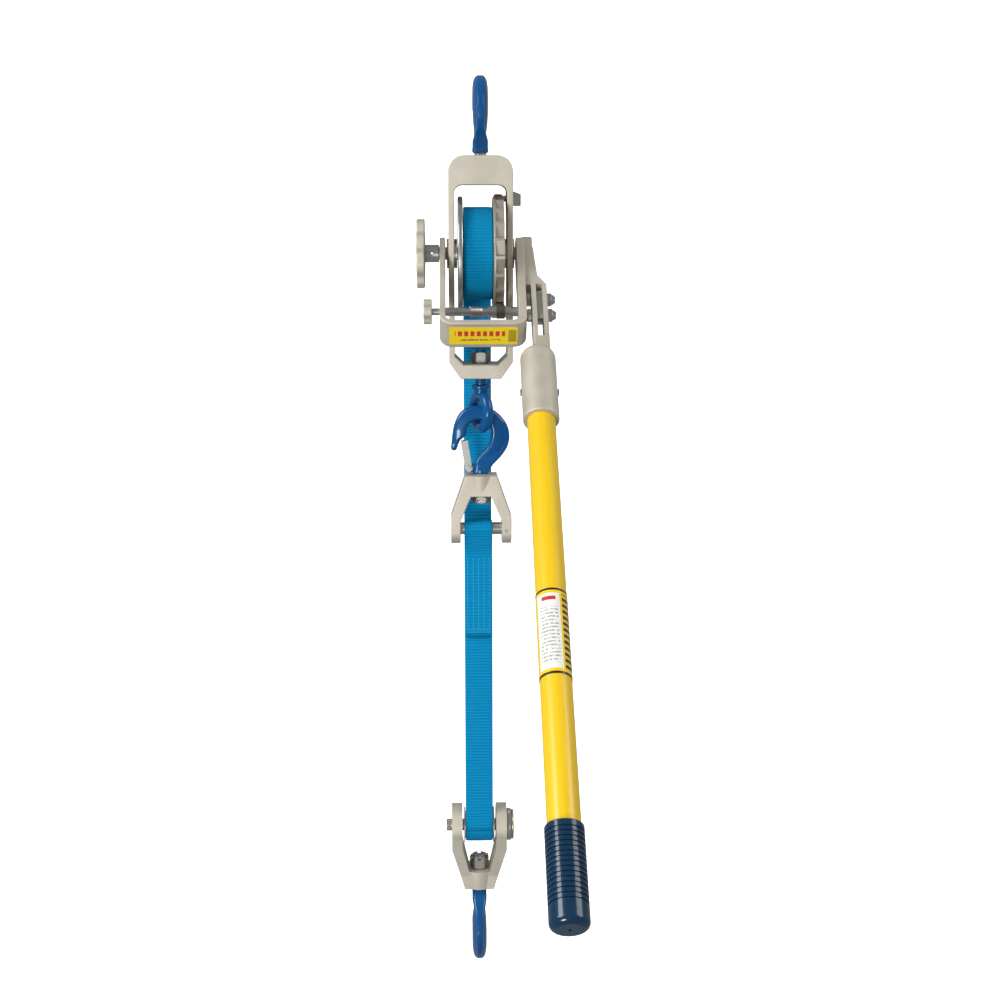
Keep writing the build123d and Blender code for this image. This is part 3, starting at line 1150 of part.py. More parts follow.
def main():
    """Builds and writes every node."""
    os.makedirs("parts", exist_ok=True)
    keep("top_hook", at_top(hook(TOP_HOOK_HEIGHT, TOP_HOOK_THICKNESS, top_shank())))
    keep("top_hook_nut", top_hook_nut())
    keep("top_hook_latch", at_top(latch(TOP_HOOK_HEIGHT)))
    keep("top_hook_latch_rivet", at_top(latch_rivet(TOP_HOOK_HEIGHT)))
    keep("frame_casting", frame_casting())
    keep("frame_bushings", frame_bushings())
    keep("thrust_washers", thrust_washers())
    keep("drum_shaft", drum_shaft())
    keep("drum_key", drum_key())
    keep("drum_core", drum_core())
    keep("drum_flange", drum_flange())
    keep("ratchet_wheel", ratchet_wheel())
    keep("strap_anchor_pin", strap_pin_place(4.0, STRAP_SPACE_X + 0.5, WHEEL_X - 0.5))
    keep("shaft_snap_ring", snap_ring())
    keep("star_handwheel", handwheel())
    keep("handwheel_hub", handwheel_hub())
    keep("hub_roll_pin", hub_roll_pin())
    keep("strap_wound", strap_wound())
    keep("strap_outer_turn", strap_outer_turn())
    keep("strap_back_run", strap_back_run())
    keep("strap_bight", strap_bight())
    keep("strap_front_run", strap_front_run())
    keep("strap_end_loop", strap_end_loop())
    keep("lever_yoke", lever_yoke())
    keep("yoke_label", yoke_label())
    keep("link_plate", link_plate())
    keep("lug_bolts", lug_bolts())
    keep("lug_nuts", lug_nuts())
    keep("handle_socket", handle_socket())
    keep("socket_pin", socket_pin())
    keep("handle_tube", handle_tube())
    keep("handle_label", handle_label())
    keep("handle_grip", handle_grip())
    keep("drive_pawl", drive_pawl())
    keep("drive_pawl_shaft", drive_pawl_shaft())
    keep("pawl_knob", pawl_knob())
    keep("pawl_spacers", pawl_spacers())
    keep("stop_pawl", stop_pawl())
    keep("stop_pawl_shaft", stop_pawl_shaft())
    keep("trip_lug", trip_lug())
    keep("swivel_eye", swivel_eye())
    keep("eye_nut", eye_nut())
    keep("strap_hook", at_strap_end(hook(STRAP_HOOK_HEIGHT, STRAP_HOOK_THICKNESS, strap_shank())))
    keep("strap_hook_nut", strap_hook_nut())
    keep("strap_hook_latch", at_strap_end(latch(STRAP_HOOK_HEIGHT)))
    keep("strap_hook_latch_rivet", at_strap_end(latch_rivet(STRAP_HOOK_HEIGHT)))
    keep("strap_clevis", strap_clevis())
    keep("strap_clevis_pin", strap_clevis_pin())
    keep("clevis_lock_pin", clevis_lock_pin())
    keep("block_clevis", block_clevis())
    keep("sheave", sheave())
    keep("sheave_bushing", sheave_bushing())
    keep("sheave_pin", sheave_pin())
    keep("sheave_cotter", sheave_cotter())
    keep("sheave_clip", sheave_clip())
    keep("block_hook", block_hook())
    keep("block_hook_nut", block_hook_nut())
    keep("block_hook_cotter", block_hook_cotter())
    keep("block_hook_latch", at_block(latch(BLOCK_HOOK_HEIGHT)))
    keep("block_hook_latch_rivet", at_block(latch_rivet(BLOCK_HOOK_HEIGHT)))


main()
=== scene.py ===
import json
import logging
from dataclasses import dataclass, field
from enum import Enum
from math import atan2, cos, pi, radians, sin
from typing import Any, Callable, Optional, Sequence

import bmesh
import bpy
from mathutils import Matrix, Vector


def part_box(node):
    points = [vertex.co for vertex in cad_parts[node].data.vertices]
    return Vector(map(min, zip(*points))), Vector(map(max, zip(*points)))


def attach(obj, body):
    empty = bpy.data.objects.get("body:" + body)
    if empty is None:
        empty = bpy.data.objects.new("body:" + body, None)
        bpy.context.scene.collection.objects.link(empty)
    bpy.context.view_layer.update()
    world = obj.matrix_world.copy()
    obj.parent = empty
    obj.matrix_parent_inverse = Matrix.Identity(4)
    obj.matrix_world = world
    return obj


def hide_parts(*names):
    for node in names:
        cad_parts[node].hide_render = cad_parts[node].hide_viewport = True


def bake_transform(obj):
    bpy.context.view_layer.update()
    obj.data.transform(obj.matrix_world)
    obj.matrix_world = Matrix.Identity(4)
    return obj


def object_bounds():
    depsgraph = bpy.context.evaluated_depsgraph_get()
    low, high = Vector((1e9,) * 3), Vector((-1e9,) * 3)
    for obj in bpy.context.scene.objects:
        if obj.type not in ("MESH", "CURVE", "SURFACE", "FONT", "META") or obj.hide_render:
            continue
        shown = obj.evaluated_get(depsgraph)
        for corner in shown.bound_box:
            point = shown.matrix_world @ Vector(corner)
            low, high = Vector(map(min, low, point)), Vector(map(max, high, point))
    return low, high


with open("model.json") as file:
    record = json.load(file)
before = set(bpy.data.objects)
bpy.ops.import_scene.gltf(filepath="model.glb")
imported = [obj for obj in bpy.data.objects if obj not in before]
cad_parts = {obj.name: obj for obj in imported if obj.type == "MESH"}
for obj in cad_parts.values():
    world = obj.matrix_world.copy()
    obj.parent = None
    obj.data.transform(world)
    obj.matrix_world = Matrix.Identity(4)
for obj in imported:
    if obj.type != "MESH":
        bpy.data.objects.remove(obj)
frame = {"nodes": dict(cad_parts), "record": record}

LOG = logging.getLogger("strap_hoist")
MM = 0.001
CAD_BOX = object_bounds()


class Rider(Enum):
    """The CAD bodies that new pieces ride on."""

    FRAME = "frame"
    DRUM = "drum"
    BLOCK = "block"
    DRIVE_PAWL = "drive_pawl"
    TOP_HOOK = "top_hook"
    STRAP_HOOK = "strap_hook"
    BLOCK_HOOK = "block_hook"


# ------------------------------------------------------------------ colour and nodes


def linear(hex_colour: str) -> tuple[float, float, float, float]:
    """Turns an sRGB hex colour into linear RGBA.

    Args:
        hex_colour: Six hex digits, with or without a leading hash.

    Returns:
        The linear red, green, blue and an alpha of 1.
    """
    digits = hex_colour.lstrip("#")
    channels = [int(digits[i:i + 2], 16) / 255 for i in (0, 2, 4)]
    red, green, blue = [
        c / 12.92 if c <= 0.04045 else ((c + 0.055) / 1.055) ** 2.4 for c in channels
    ]
    return (red, green, blue, 1.0)


def add_node(
    tree: bpy.types.NodeTree, kind: str, inputs: Optional[dict] = None, **settings: Any
) -> bpy.types.Node:
    """Adds a node with its settings, its input values and its links.

    Args:
        tree: The node tree to add to.
        kind: The node's type name.
        inputs: Input name or index to a value, or to an output socket to link.
        **settings: Attributes of the node.

    Returns:
        The new node.
    """
    node = tree.nodes.new(kind)
    for name, value in settings.items():
        setattr(node, name, value)
    for key, value in (inputs or {}).items():
        if isinstance(value, bpy.types.NodeSocket):
            tree.links.new(value, node.inputs[key])
        else:
            node.inputs[key].default_value = value
    return node


def mix_colours(tree: bpy.types.NodeTree, share: Any, first: Any, second: Any) -> bpy.types.NodeSocket:
    """Mixes two colours or colour outputs by a share, and returns the colour output."""
    node = add_node(tree, "ShaderNodeMix", {0: share, 6: first, 7: second}, data_type="RGBA")
    return node.outputs[2]


def math(tree: bpy.types.NodeTree, operation: str, first: Any, second: Any = 0.0) -> bpy.types.NodeSocket:
    """Adds one math step and returns its value output."""
    return add_node(tree, "ShaderNodeMath", {0: first, 1: second}, operation=operation).outputs[0]


def along(tree: bpy.types.NodeTree, direction: Vector) -> bpy.types.NodeSocket:
    """Returns the distance of a point along a direction, from Object coordinates."""
    place = add_node(tree, "ShaderNodeTexCoord").outputs["Object"]
    dot = add_node(tree, "ShaderNodeVectorMath", {0: place, 1: tuple(direction)}, operation="DOT_PRODUCT")
    return dot.outputs["Value"]


def noise(
    tree: bpy.types.NodeTree, size_mm: float, detail: float = 2.0, stretch: Optional[tuple] = None
) -> bpy.types.NodeSocket:
    """Noise on Object coordinates whose lumps are about a real size.

    Args:
        tree: The material's tree.
        size_mm: The width of a lump in millimetres.
        detail: How many finer levels it holds.
        stretch: Optional scale on each axis, below 1 to draw the lumps out.

    Returns:
        The noise's value output.
    """
    place = add_node(tree, "ShaderNodeTexCoord").outputs["Object"]
    if stretch is not None:
        place = add_node(tree, "ShaderNodeMapping", {"Vector": place, "Scale": stretch}).outputs[0]
    scale = 1000 / (2 * size_mm)
    node = add_node(tree, "ShaderNodeTexNoise", {"Vector": place, "Scale": scale, "Detail": detail})
    return node.outputs[0]


def link(shader: bpy.types.Node, name: str, value: bpy.types.NodeSocket) -> None:
    """Links a value to one of the shader's inputs."""
    shader.id_data.links.new(value, shader.inputs[name])


def spread(
    tree: bpy.types.NodeTree, value: bpy.types.NodeSocket, low: float, high: float
) -> bpy.types.NodeSocket:
    """Maps a value from 0 to 1 onto a range."""
    return add_node(tree, "ShaderNodeMapRange", {"Value": value, "To Min": low, "To Max": high}).outputs[0]


def near(
    tree: bpy.types.NodeTree, value: bpy.types.NodeSocket, middle: float, reach: float
) -> bpy.types.NodeSocket:
    """Gives 1 where a value lies within a reach of a middle, and 0 elsewhere."""
    distance = math(tree, "ABSOLUTE", math(tree, "SUBTRACT", value, middle))
    return math(tree, "LESS_THAN", distance, reach)


def stripes(
    tree: bpy.types.NodeTree, value: bpy.types.NodeSocket, pitch: float, level: float
) -> bpy.types.NodeSocket:
    """Gives 1 on stripes a pitch apart, wider as the level falls from 1 to -1, and 0 between them."""
    wave = math(tree, "SINE", math(tree, "MULTIPLY", value, 2 * pi / pitch))
    return math(tree, "GREATER_THAN", wave, level)


def bump(
    tree: bpy.types.NodeTree, height: bpy.types.NodeSocket, depth_mm: float
) -> bpy.types.NodeSocket:
    """A bump normal from a height of 0 to 1 and its depth in millimetres."""
    node = add_node(tree, "ShaderNodeBump", {"Height": height, "Distance": depth_mm * MM, "Strength": 1.0})
    return node.outputs[0]


# ------------------------------------------------------------------ finishes


@dataclass(frozen=True)
class Finish:
    """A finish with one base colour and the shader's constant values."""

    name: str
    colour: str
    metallic: float = 0.0
    roughness: float = 0.4
    coat: float = 0.0
    coat_roughness: float = 0.05
    specular: float = 0.5

    def material(self) -> bpy.types.Material:
        """Builds the material once, and returns it after that."""
        known = bpy.data.materials.get(self.name)
        if known is not None:
            return known
        made = bpy.data.materials.new(self.name)
        made.use_nodes = True
        tree = made.node_tree
        shader = tree.nodes["Principled BSDF"]
        shader.inputs["Base Color"].default_value = linear(self.colour)
        shader.inputs["Metallic"].default_value = self.metallic
        shader.inputs["Roughness"].default_value = self.roughness
        shader.inputs["Coat Weight"].default_value = self.coat
        shader.inputs["Coat Roughness"].default_value = self.coat_roughness
        shader.inputs["Specular IOR Level"].default_value = self.specular
        self.dress(tree, shader)
        return made

    def dress(self, tree: bpy.types.NodeTree, shader: bpy.types.Node) -> None:
        """Adds the finish's own pattern. The plain finish has none."""


@dataclass(frozen=True)
class CastAluminium(Finish):
    """Aluminium as cast and tumbled: pale, warm, satin, with a fine sandy skin."""

    grain_mm: float = 0.5
    cloud_mm: float = 14.0

    def dress(self, tree: bpy.types.NodeTree, shader: bpy.types.Node) -> None:
        """Adds cloudy tone, sandy grain and a few darker stains."""
        cloud = noise(tree, self.cloud_mm, 3.0)
        grain = noise(tree, self.grain_mm, 2.0)
        clouds = spread(tree, cloud, 0.0, 1.0)
        tone = mix_colours(tree, clouds, linear("#B6AFA0"), linear("#D8D1C2"))
        speck = math(tree, "GREATER_THAN", noise(tree, 1.6, 4.0), 0.66)
        stain = math(tree, "MULTIPLY", speck, 0.12)
        link(shader, "Base Color", mix_colours(tree, stain, tone, linear("#8C8473")))
        skin = math(tree, "ADD", cloud, grain)
        link(shader, "Roughness", spread(tree, skin, self.roughness - 0.14, self.roughness + 0.12))
        link(shader, "Normal", bump(tree, grain, 0.05))


@dataclass(frozen=True)
class HookEnamel(Finish):
    """Forged steel under glossy blue enamel: deep colour, a clear coat, soft forging waves."""

    def dress(self, tree: bpy.types.NodeTree, shader: bpy.types.Node) -> None:
        """Adds the forging's slow waves and the paint's slight tone changes."""
        wave = noise(tree, 5.0, 2.0)
        patch = spread(tree, noise(tree, 11.0, 2.0), 0.0, 1.0)
        link(shader, "Base Color", mix_colours(tree, patch, linear("#00437A"), linear("#00548C")))
        link(shader, "Roughness", spread(tree, wave, self.roughness - 0.06, self.roughness + 0.08))
        link(shader, "Normal", bump(tree, wave, 0.16))


@dataclass(frozen=True)
class Plated(Finish):
    """Steel or bronze, turned or drawn and plated: fine marks and a patchy satin gloss."""

    mark_mm: float = 0.35
    dark: str = "#6E6C68"

    def dress(self, tree: bpy.types.NodeTree, shader: bpy.types.Node) -> None:
        """Adds fine machining marks across X and a patchy tone."""
        marks = noise(tree, self.mark_mm, 2.0, (1.0, 0.2, 0.2))
        patch = noise(tree, 4.0, 3.0)
        tone = mix_colours(tree, spread(tree, patch, 0.0, 0.45), linear(self.colour), linear(self.dark))
        link(shader, "Base Color", tone)
        gloss = math(tree, "MULTIPLY", patch, marks)
        link(shader, "Roughness", spread(tree, gloss, self.roughness - 0.08, self.roughness + 0.25))
        link(shader, "Normal", bump(tree, marks, 0.03))


@dataclass(frozen=True)
class Gelcoat(Finish):
    """Pultruded fibreglass: clear yellow resin over glass rovings that run along the tube."""

    axis: tuple = (0.0, 0.0, -1.0)

    def dress(self, tree: bpy.types.NodeTree, shader: bpy.types.Node) -> None:
        """Adds faint lengthways rovings under the gloss."""
        place = add_node(tree, "ShaderNodeTexCoord").outputs["Object"]
        tilt = atan2(-self.axis[1], -self.axis[2])
        turned = add_node(tree, "ShaderNodeMapping", {"Vector": place, "Rotation": (tilt, 0, 0)})
        drawn = add_node(tree, "ShaderNodeMapping", {"Vector": turned.outputs[0], "Scale": (1.0, 1.0, 0.02)})
        lumps = {"Vector": drawn.outputs[0], "Scale": 620.0, "Detail": 2.0}
        roving = add_node(tree, "ShaderNodeTexNoise", lumps).outputs[0]
        resin = mix_colours(tree, spread(tree, roving, 0.0, 1.0), linear("#E2B600"), linear("#F3CC00"))
        link(shader, "Base Color", resin)
        link(shader, "Normal", bump(tree, roving, 0.02))


@dataclass(frozen=True)
class DippedVinyl(Finish):
    """Dipped navy vinyl: soft gloss with a slightly pebbled skin."""

    def dress(self, tree: bpy.types.NodeTree, shader: bpy.types.Node) -> None:
        """Adds the pebbled skin and paler scuffs."""
        pebble = noise(tree, 0.7, 2.0)
        scuff = math(tree, "POWER", noise(tree, 6.0, 4.0), 3.0)
        worn = math(tree, "MULTIPLY", scuff, 1.2)
        link(shader, "Base Color", mix_colours(tree, worn, linear(self.colour), linear("#053454")))
        link(shader, "Roughness", spread(tree, scuff, self.roughness, self.roughness + 0.3))
        link(shader, "Normal", bump(tree, pebble, 0.06))


@dataclass(frozen=True)
class Webbing(Finish):
    """Woven polyester webbing: matt ribs across the strap, cut by warp bundles.

    Real picks are finer. They are drawn as ribs 3.6 mm apart, so that they show.
    """

    pick_mm: float = 3.6
    warp_mm: float = 3.2

    def dress(self, tree: bpy.types.NodeTree, shader: bpy.types.Node) -> None:
        """Adds the weave from the piece's own UV map, in metres along and across, with painted shade in its
        grooves.
        """
        uv = add_node(tree, "ShaderNodeUVMap", uv_map="webbing").outputs[0]
        parts = add_node(tree, "ShaderNodeSeparateXYZ", {0: uv}).outputs
        pick = math(tree, "MULTIPLY", parts[0], 2 * pi / (self.pick_mm * MM))
        warp = math(tree, "MULTIPLY", parts[1], 2 * pi / (self.warp_mm * MM))
        # A rib rises and falls a little from one warp bundle to the next.
        sway = math(tree, "MULTIPLY", math(tree, "SINE", warp), 0.55)
        wave = math(tree, "SINE", math(tree, "ADD", pick, sway))
        rib = math(tree, "ADD", math(tree, "MULTIPLY", wave, 0.5), 0.5)
        groove = math(tree, "ABSOLUTE", math(tree, "SINE", math(tree, "MULTIPLY", warp, 0.5)))
        height = math(tree, "MULTIPLY", rib, spread(tree, math(tree, "POWER", groove, 0.4), 0.55, 1.0))
        fuzz = noise(tree, 0.6, 3.0)
        soft = math(tree, "ADD", math(tree, "MULTIPLY", height, 0.8), math(tree, "MULTIPLY", fuzz, 0.25))
        # Painted shade: the weave's low grooves get a darker blue than its raised ribs.
        tone = mix_colours(tree, spread(tree, height, 0.0, 1.0), linear("#0077A9"), linear(self.colour))
        wear = math(tree, "MULTIPLY", noise(tree, 9.0, 4.0), 0.2)
        link(shader, "Base Color", mix_colours(tree, wear, tone, linear("#0A9CCB")))
        link(shader, "Normal", bump(tree, soft, 0.5))


@dataclass(frozen=True)
class SleeveFilm(Finish):
    """Printed film round the tube: a white panel of blank rules, a striped edge and black ends."""

    axis: tuple = (0.0, 0.0, -1.0)
    start: float = 0.468
    length: float = 0.091
    centre_x: float = 0.057
    panel_x: float = -0.0035
    stripe_x: float = 0.0115
    stripe_pitch: float = 0.0065
    rules: int = 24

    def dress(self, tree: bpy.types.NodeTree, shader: bpy.types.Node) -> None:
        """Prints the film by distance along the tube and across it."""
        reach = math(tree, "SUBTRACT", along(tree, Vector(self.axis)), self.start)
        run = math(tree, "DIVIDE", reach, self.length)
        across = math(tree, "SUBTRACT", along(tree, Vector((1, 0, 0))), self.centre_x)
        centre = math(tree, "ABSOLUTE", math(tree, "SUBTRACT", run, 0.5))
        ends = math(tree, "GREATER_THAN", centre, 0.475)
        panel_end = math(tree, "LESS_THAN", centre, 0.44)
        stripe = stripes(tree, math(tree, "MULTIPLY", run, self.length), self.stripe_pitch, 0.0)
        hazard = mix_colours(tree, stripe, linear("#151515"), linear("#E9BE00"))
        edge = math(tree, "MULTIPLY", near(tree, across, self.stripe_x, 0.0032), panel_end)
        striped = mix_colours(tree, edge, linear("#F4CB00"), hazard)
        rules = stripes(tree, run, 1 / self.rules, 0.25)
        broken = math(tree, "GREATER_THAN", noise(tree, 0.9, 1.0), 0.46)
        block = math(tree, "MULTIPLY", near(tree, across, self.panel_x, 0.008), near(tree, run, 0.55, 0.33))
        ink = math(tree, "MULTIPLY", math(tree, "MULTIPLY", rules, broken), block)
        white = mix_colours(tree, math(tree, "MULTIPLY", ink, 0.6), linear(self.colour), linear("#3A3A3C"))
        heading = near(tree, across, self.panel_x, 0.0062)
        heading = math(tree, "MULTIPLY", near(tree, run, 0.12, 0.022), heading)
        white = mix_colours(tree, heading, white, linear("#C8302A"))
        panel_side = near(tree, across, self.panel_x, 0.0098)
        panel = mix_colours(tree, math(tree, "MULTIPLY", panel_side, panel_end), striped, white)
        link(shader, "Base Color", mix_colours(tree, ends, panel, linear("#1A1A18")))
        link(shader, "Normal", bump(tree, noise(tree, 3.0, 2.0), 0.03))


@dataclass(frozen=True)
class PlateFilm(Finish):
    """Printed yellow film on the crossbar: a row of plain red bars, a rule and a dull patch."""

    up: tuple = (0.0, 0.0, 1.0)
    middle: tuple = (0.0, 0.0, 0.0)
    half_width: float = 0.036
    half_height: float = 0.012
    text_x: float = -0.0036

    def dress(self, tree: bpy.types.NodeTree, shader: bpy.types.Node) -> None:
        """Prints the film by place across and up the plate."""
        across = math(tree, "SUBTRACT", along(tree, Vector((1, 0, 0))), self.middle[0])
        rise = math(tree, "SUBTRACT", along(tree, Vector(self.up)), Vector(self.up).dot(Vector(self.middle)))
        side = math(tree, "DIVIDE", math(tree, "ABSOLUTE", across), self.half_width)
        level = math(tree, "DIVIDE", math(tree, "ABSOLUTE", rise), self.half_height)
        edge = math(tree, "MAXIMUM", side, level)
        row = near(tree, rise, 0.0032, 0.0036)
        row = math(tree, "MULTIPLY", row, near(tree, across, self.text_x, 0.0264))
        bars = math(tree, "MULTIPLY", stripes(tree, across, 0.0066, -0.45), row)
        line = near(tree, rise, -0.0058, 0.0011)
        line = math(tree, "MULTIPLY", line, near(tree, across, self.text_x, 0.0215))
        rule = math(tree, "MULTIPLY", line, math(tree, "GREATER_THAN", noise(tree, 1.1, 1.0), 0.44))
        patch = math(tree, "MULTIPLY", near(tree, across, 0.0305, 0.0042), near(tree, rise, 0.0, 0.0085))
        shade = mix_colours(tree, bars, linear(self.colour), linear("#D2381C"))
        shade = mix_colours(tree, math(tree, "MULTIPLY", rule, 0.8), shade, linear("#2A2622"))
        shade = mix_colours(tree, math(tree, "MULTIPLY", patch, 0.75), shade, linear("#8F7B12"))
        link(shader, "Base Color", shade)
        wear = math(tree, "MULTIPLY", edge, noise(tree, 5.0, 2.0))
        link(shader, "Roughness", spread(tree, wear, 0.3, 0.5))


CASTING = CastAluminium("tumbled_cast_aluminium", "#CBC4B5", metallic=0.55, roughness=0.48)
BLASTED = Plated(
    "shot_blasted_steel", "#C2BBAC", metallic=0.75, roughness=0.46, mark_mm=0.6, dark="#8A8375"
)
ENAMEL = HookEnamel(
    "blue_enamel_on_forged_steel", "#004C84", roughness=0.3, coat=0.4, coat_roughness=0.05, specular=0.15
)
ZINC = Plated("zinc_plated_steel", "#C9C8C4", metallic=1.0, roughness=0.32)
DARK = Plated("oiled_dark_steel", "#7B766D", metallic=0.9, roughness=0.42, dark="#46433D")
BRONZE = Plated("sintered_bronze", "#8F8069", metallic=1.0, roughness=0.45, dark="#5C4F3C")
YELLOW_ZINC = Plated("yellow_zinc_plated_steel", "#C8C1AB", metallic=1.0, roughness=0.34, dark="#9C937A")
VINYL = DippedVinyl(
    "dipped_navy_vinyl", "#002A45", roughness=0.25, coat=0.6, coat_roughness=0.06, specular=0.15
)
STRAP = Webbing("woven_blue_polyester", "#008DC4", roughness=0.8, specular=0.12)
THREAD = Finish("blue_sewing_thread", "#2AA8D2", roughness=0.7, specular=0.15)


# ------------------------------------------------------------------ mesh helpers


def new_piece(name: str, mesh: bpy.types.Mesh, finish: Finish) -> bpy.types.Object:
    """Links a mesh as an object with one finish, and returns the object."""
    piece = bpy.data.objects.new(name, mesh)
    bpy.context.scene.collection.objects.link(piece)
    mesh.materials.clear()
    mesh.materials.append(finish.material())
    return piece


def mesh_from(name: str, build: Callable[[bmesh.types.BMesh], None], smooth: bool = True) -> bpy.types.Mesh:
    """Makes a mesh with bmesh code, turns its faces outwards and shades it.

    Args:
        name: The mesh's name.
        build: Fills the bmesh.
        smooth: Whether its faces are shaded smooth.

    Returns:
        The finished mesh.
    """
    form = bmesh.new()
    build(form)
    bmesh.ops.recalc_face_normals(form, faces=form.faces)
    for face in form.faces:
        face.smooth = smooth
    mesh = bpy.data.meshes.new(name)
    form.to_mesh(mesh)
    form.free()
    return mesh


def report(piece: bpy.types.Object, rider: str) -> None:
    """Logs a finished piece with its body and its face count."""
    LOG.info("%s rides on %s, %d faces", piece.name, rider, len(piece.data.polygons))


def sweep(
    form: bmesh.types.BMesh,
    path: Sequence[tuple[Vector, Vector, Vector]],
    outline: Sequence[tuple[float, float]],
) -> None:
    """Sweeps a closed outline along a path of frames, and closes its ends.

    Args:
        form: The bmesh to add to.
        path: Points with the two directions that the outline's coordinates follow.
        outline: The outline's corners, in metres.
    """
    layer = form.loops.layers.uv.get("webbing") or form.loops.layers.uv.new("webbing")
    rings, lengths, length = [], [], 0.0
    for step, (place, first, second) in enumerate(path):
        if step:
            length += (place - path[step - 1][0]).length
        lengths.append(length)
        rings.append([form.verts.new(place + first * a + second * b) for a, b in outline])
    count = len(outline)
    for span in range(len(rings) - 1):
        after = span + 1
        for side in range(count):
            other = (side + 1) % count
            near_pair = (rings[span][side], rings[span][other])
            far_pair = (rings[after][other], rings[after][side])
            face = form.faces.new(near_pair + far_pair)
            run = (lengths[span], lengths[span], lengths[after], lengths[after])
            for loop, u, corner in zip(face.loops, run, (side, other, other, side)):
                loop[layer].uv = (u, outline[corner][0])
    form.faces.new(rings[0])
    form.faces.new(rings[-1])


def webbing_outline(width: float, thickness: float, corners: int = 28) -> list[tuple[float, float]]:
    """A flat outline with soft rounded selvedges, as (across, through) in metres."""
    outline = []
    for step in range(corners):
        angle = 2 * pi * step / corners
        c, s = cos(angle), sin(angle)
        across = abs(c) ** 0.28 * (1 if c >= 0 else -1)
        through = abs(s) ** 0.55 * (1 if s >= 0 else -1)
        outline.append((across * width / 2, through * thickness / 2))
    return outline


def strap_path(points: Sequence[tuple[float, float]], middle_x: float) -> list[tuple[Vector, Vector, Vector]]:
    """Frames along a line of (y, z) points, with X across the strap."""
    frames = []
    for step, (y, z) in enumerate(points):
        before = points[max(step - 1, 0)]
        after = points[min(step + 1, len(points) - 1)]
        tangent = Vector((0, after[0] - before[0], after[1] - before[1])).normalized()
        frames.append((Vector((middle_x, y, z)), Vector((1, 0, 0)), Vector((0, -tangent.z, tangent.y))))
    return frames


def arc(
    centre: tuple[float, float], radius: float, start: float, end: float, steps: int
) -> list[tuple[float, float]]:
    """Points on an arc in the YZ plane, by angles in degrees from +Y towards +Z."""
    found = []
    for step in range(steps + 1):
        angle = radians(start + (end - start) * step / steps)
        found.append((centre[0] + radius * cos(angle), centre[1] + radius * sin(angle)))
    return found


def straight(start: tuple[float, float], end: tuple[float, float], steps: int) -> list[tuple[float, float]]:
    """Evenly spaced points from one (y, z) point to another."""
    return [
        (start[0] + (end[0] - start[0]) * k / steps, start[1] + (end[1] - start[1]) * k / steps)
        for k in range(steps + 1)
    ]


# ------------------------------------------------------------------ geometry nodes


def modifier_input(modifier: bpy.types.Modifier, name: str, value: Any) -> None:
    """Sets a Geometry Nodes input by its socket's identifier, found by its name."""
    for item in modifier.node_group.interface.items_tree:
        if item.item_type == "SOCKET" and item.in_out == "INPUT" and item.name == name:
            modifier[item.identifier] = value


def row_tree(name: str, finish: Finish) -> bpy.types.GeometryNodeTree:
    """Geometry Nodes that lay rows of one low-poly bead, such as stitches or ribs.

    Args:
        name: The tree's name.
        finish: The finish that Set Material gives.

    Returns:
        The tree, with inputs for rows, counts, spacings and the bead's sizes.
    """
    tree = bpy.data.node_groups.new(name, "GeometryNodeTree")
    tree.interface.new_socket("Geometry", in_out="OUTPUT", socket_type="NodeSocketGeometry")
    for label in ("Rows", "Per Row"):
        tree.interface.new_socket(label, in_out="INPUT", socket_type="NodeSocketInt")
    for label in ("Row Step", "Step", "Bead", "Turn"):
        tree.interface.new_socket(label, in_out="INPUT", socket_type="NodeSocketVector")
    given = add_node(tree, "NodeGroupInput").outputs
    ball = add_node(tree, "GeometryNodeMeshUVSphere", {"Segments": 8, "Rings": 5, "Radius": 1.0})
    shape = {"Geometry": ball.outputs["Mesh"], "Scale": given["Bead"], "Rotation": given["Turn"]}
    bead = add_node(tree, "GeometryNodeTransform", shape)
    one_row = add_node(tree, "GeometryNodeMeshLine", {"Count": given["Per Row"], "Offset": given["Step"]})
    strung = {"Points": one_row.outputs[0], "Instance": bead.outputs[0]}
    row = add_node(tree, "GeometryNodeInstanceOnPoints", strung)
    starts = add_node(tree, "GeometryNodeMeshLine", {"Count": given["Rows"], "Offset": given["Row Step"]})
    repeated = {"Points": starts.outputs[0], "Instance": row.outputs[0]}
    laid = add_node(tree, "GeometryNodeInstanceOnPoints", repeated)
    real = add_node(tree, "GeometryNodeRealizeInstances", {0: laid.outputs[0]})
    smooth = add_node(tree, "GeometryNodeSetShadeSmooth", {0: real.outputs[0]})
    coloured = {"Geometry": smooth.outputs[0], "Material": finish.material()}
    dressed = add_node(tree, "GeometryNodeSetMaterial", coloured)
    out = add_node(tree, "NodeGroupOutput")
    tree.links.new(dressed.outputs[0], out.inputs[0])
    return tree


def beads(name: str, finish: Finish, placed: Matrix, **inputs: Any) -> bpy.types.Object:
    """Makes rows of beads with Geometry Nodes and turns them into a plain placed mesh.

    Args:
        name: The piece's name.
        finish: The beads' finish.
        placed: Where the first bead goes and how the rows are turned.
        **inputs: The tree's inputs, with underscores for spaces.

    Returns:
        The finished object at the origin.
    """
    tree = row_tree(name + "_rows", finish)
    holder = bpy.data.objects.new(name + "_maker", bpy.data.meshes.new(name + "_maker"))
    bpy.context.scene.collection.objects.link(holder)
    modifier = holder.modifiers.new("rows", "NODES")
    modifier.node_group = tree
    for label, value in inputs.items():
        modifier_input(modifier, label.replace("_", " ").title(), value)
    bpy.context.view_layer.update()
    evaluated = holder.evaluated_get(bpy.context.evaluated_depsgraph_get())
    mesh = bpy.data.meshes.new_from_object(evaluated)
    bpy.data.objects.remove(holder)
    mesh.transform(placed)
    return new_piece(name, mesh, finish)


# ------------------------------------------------------------------ strap


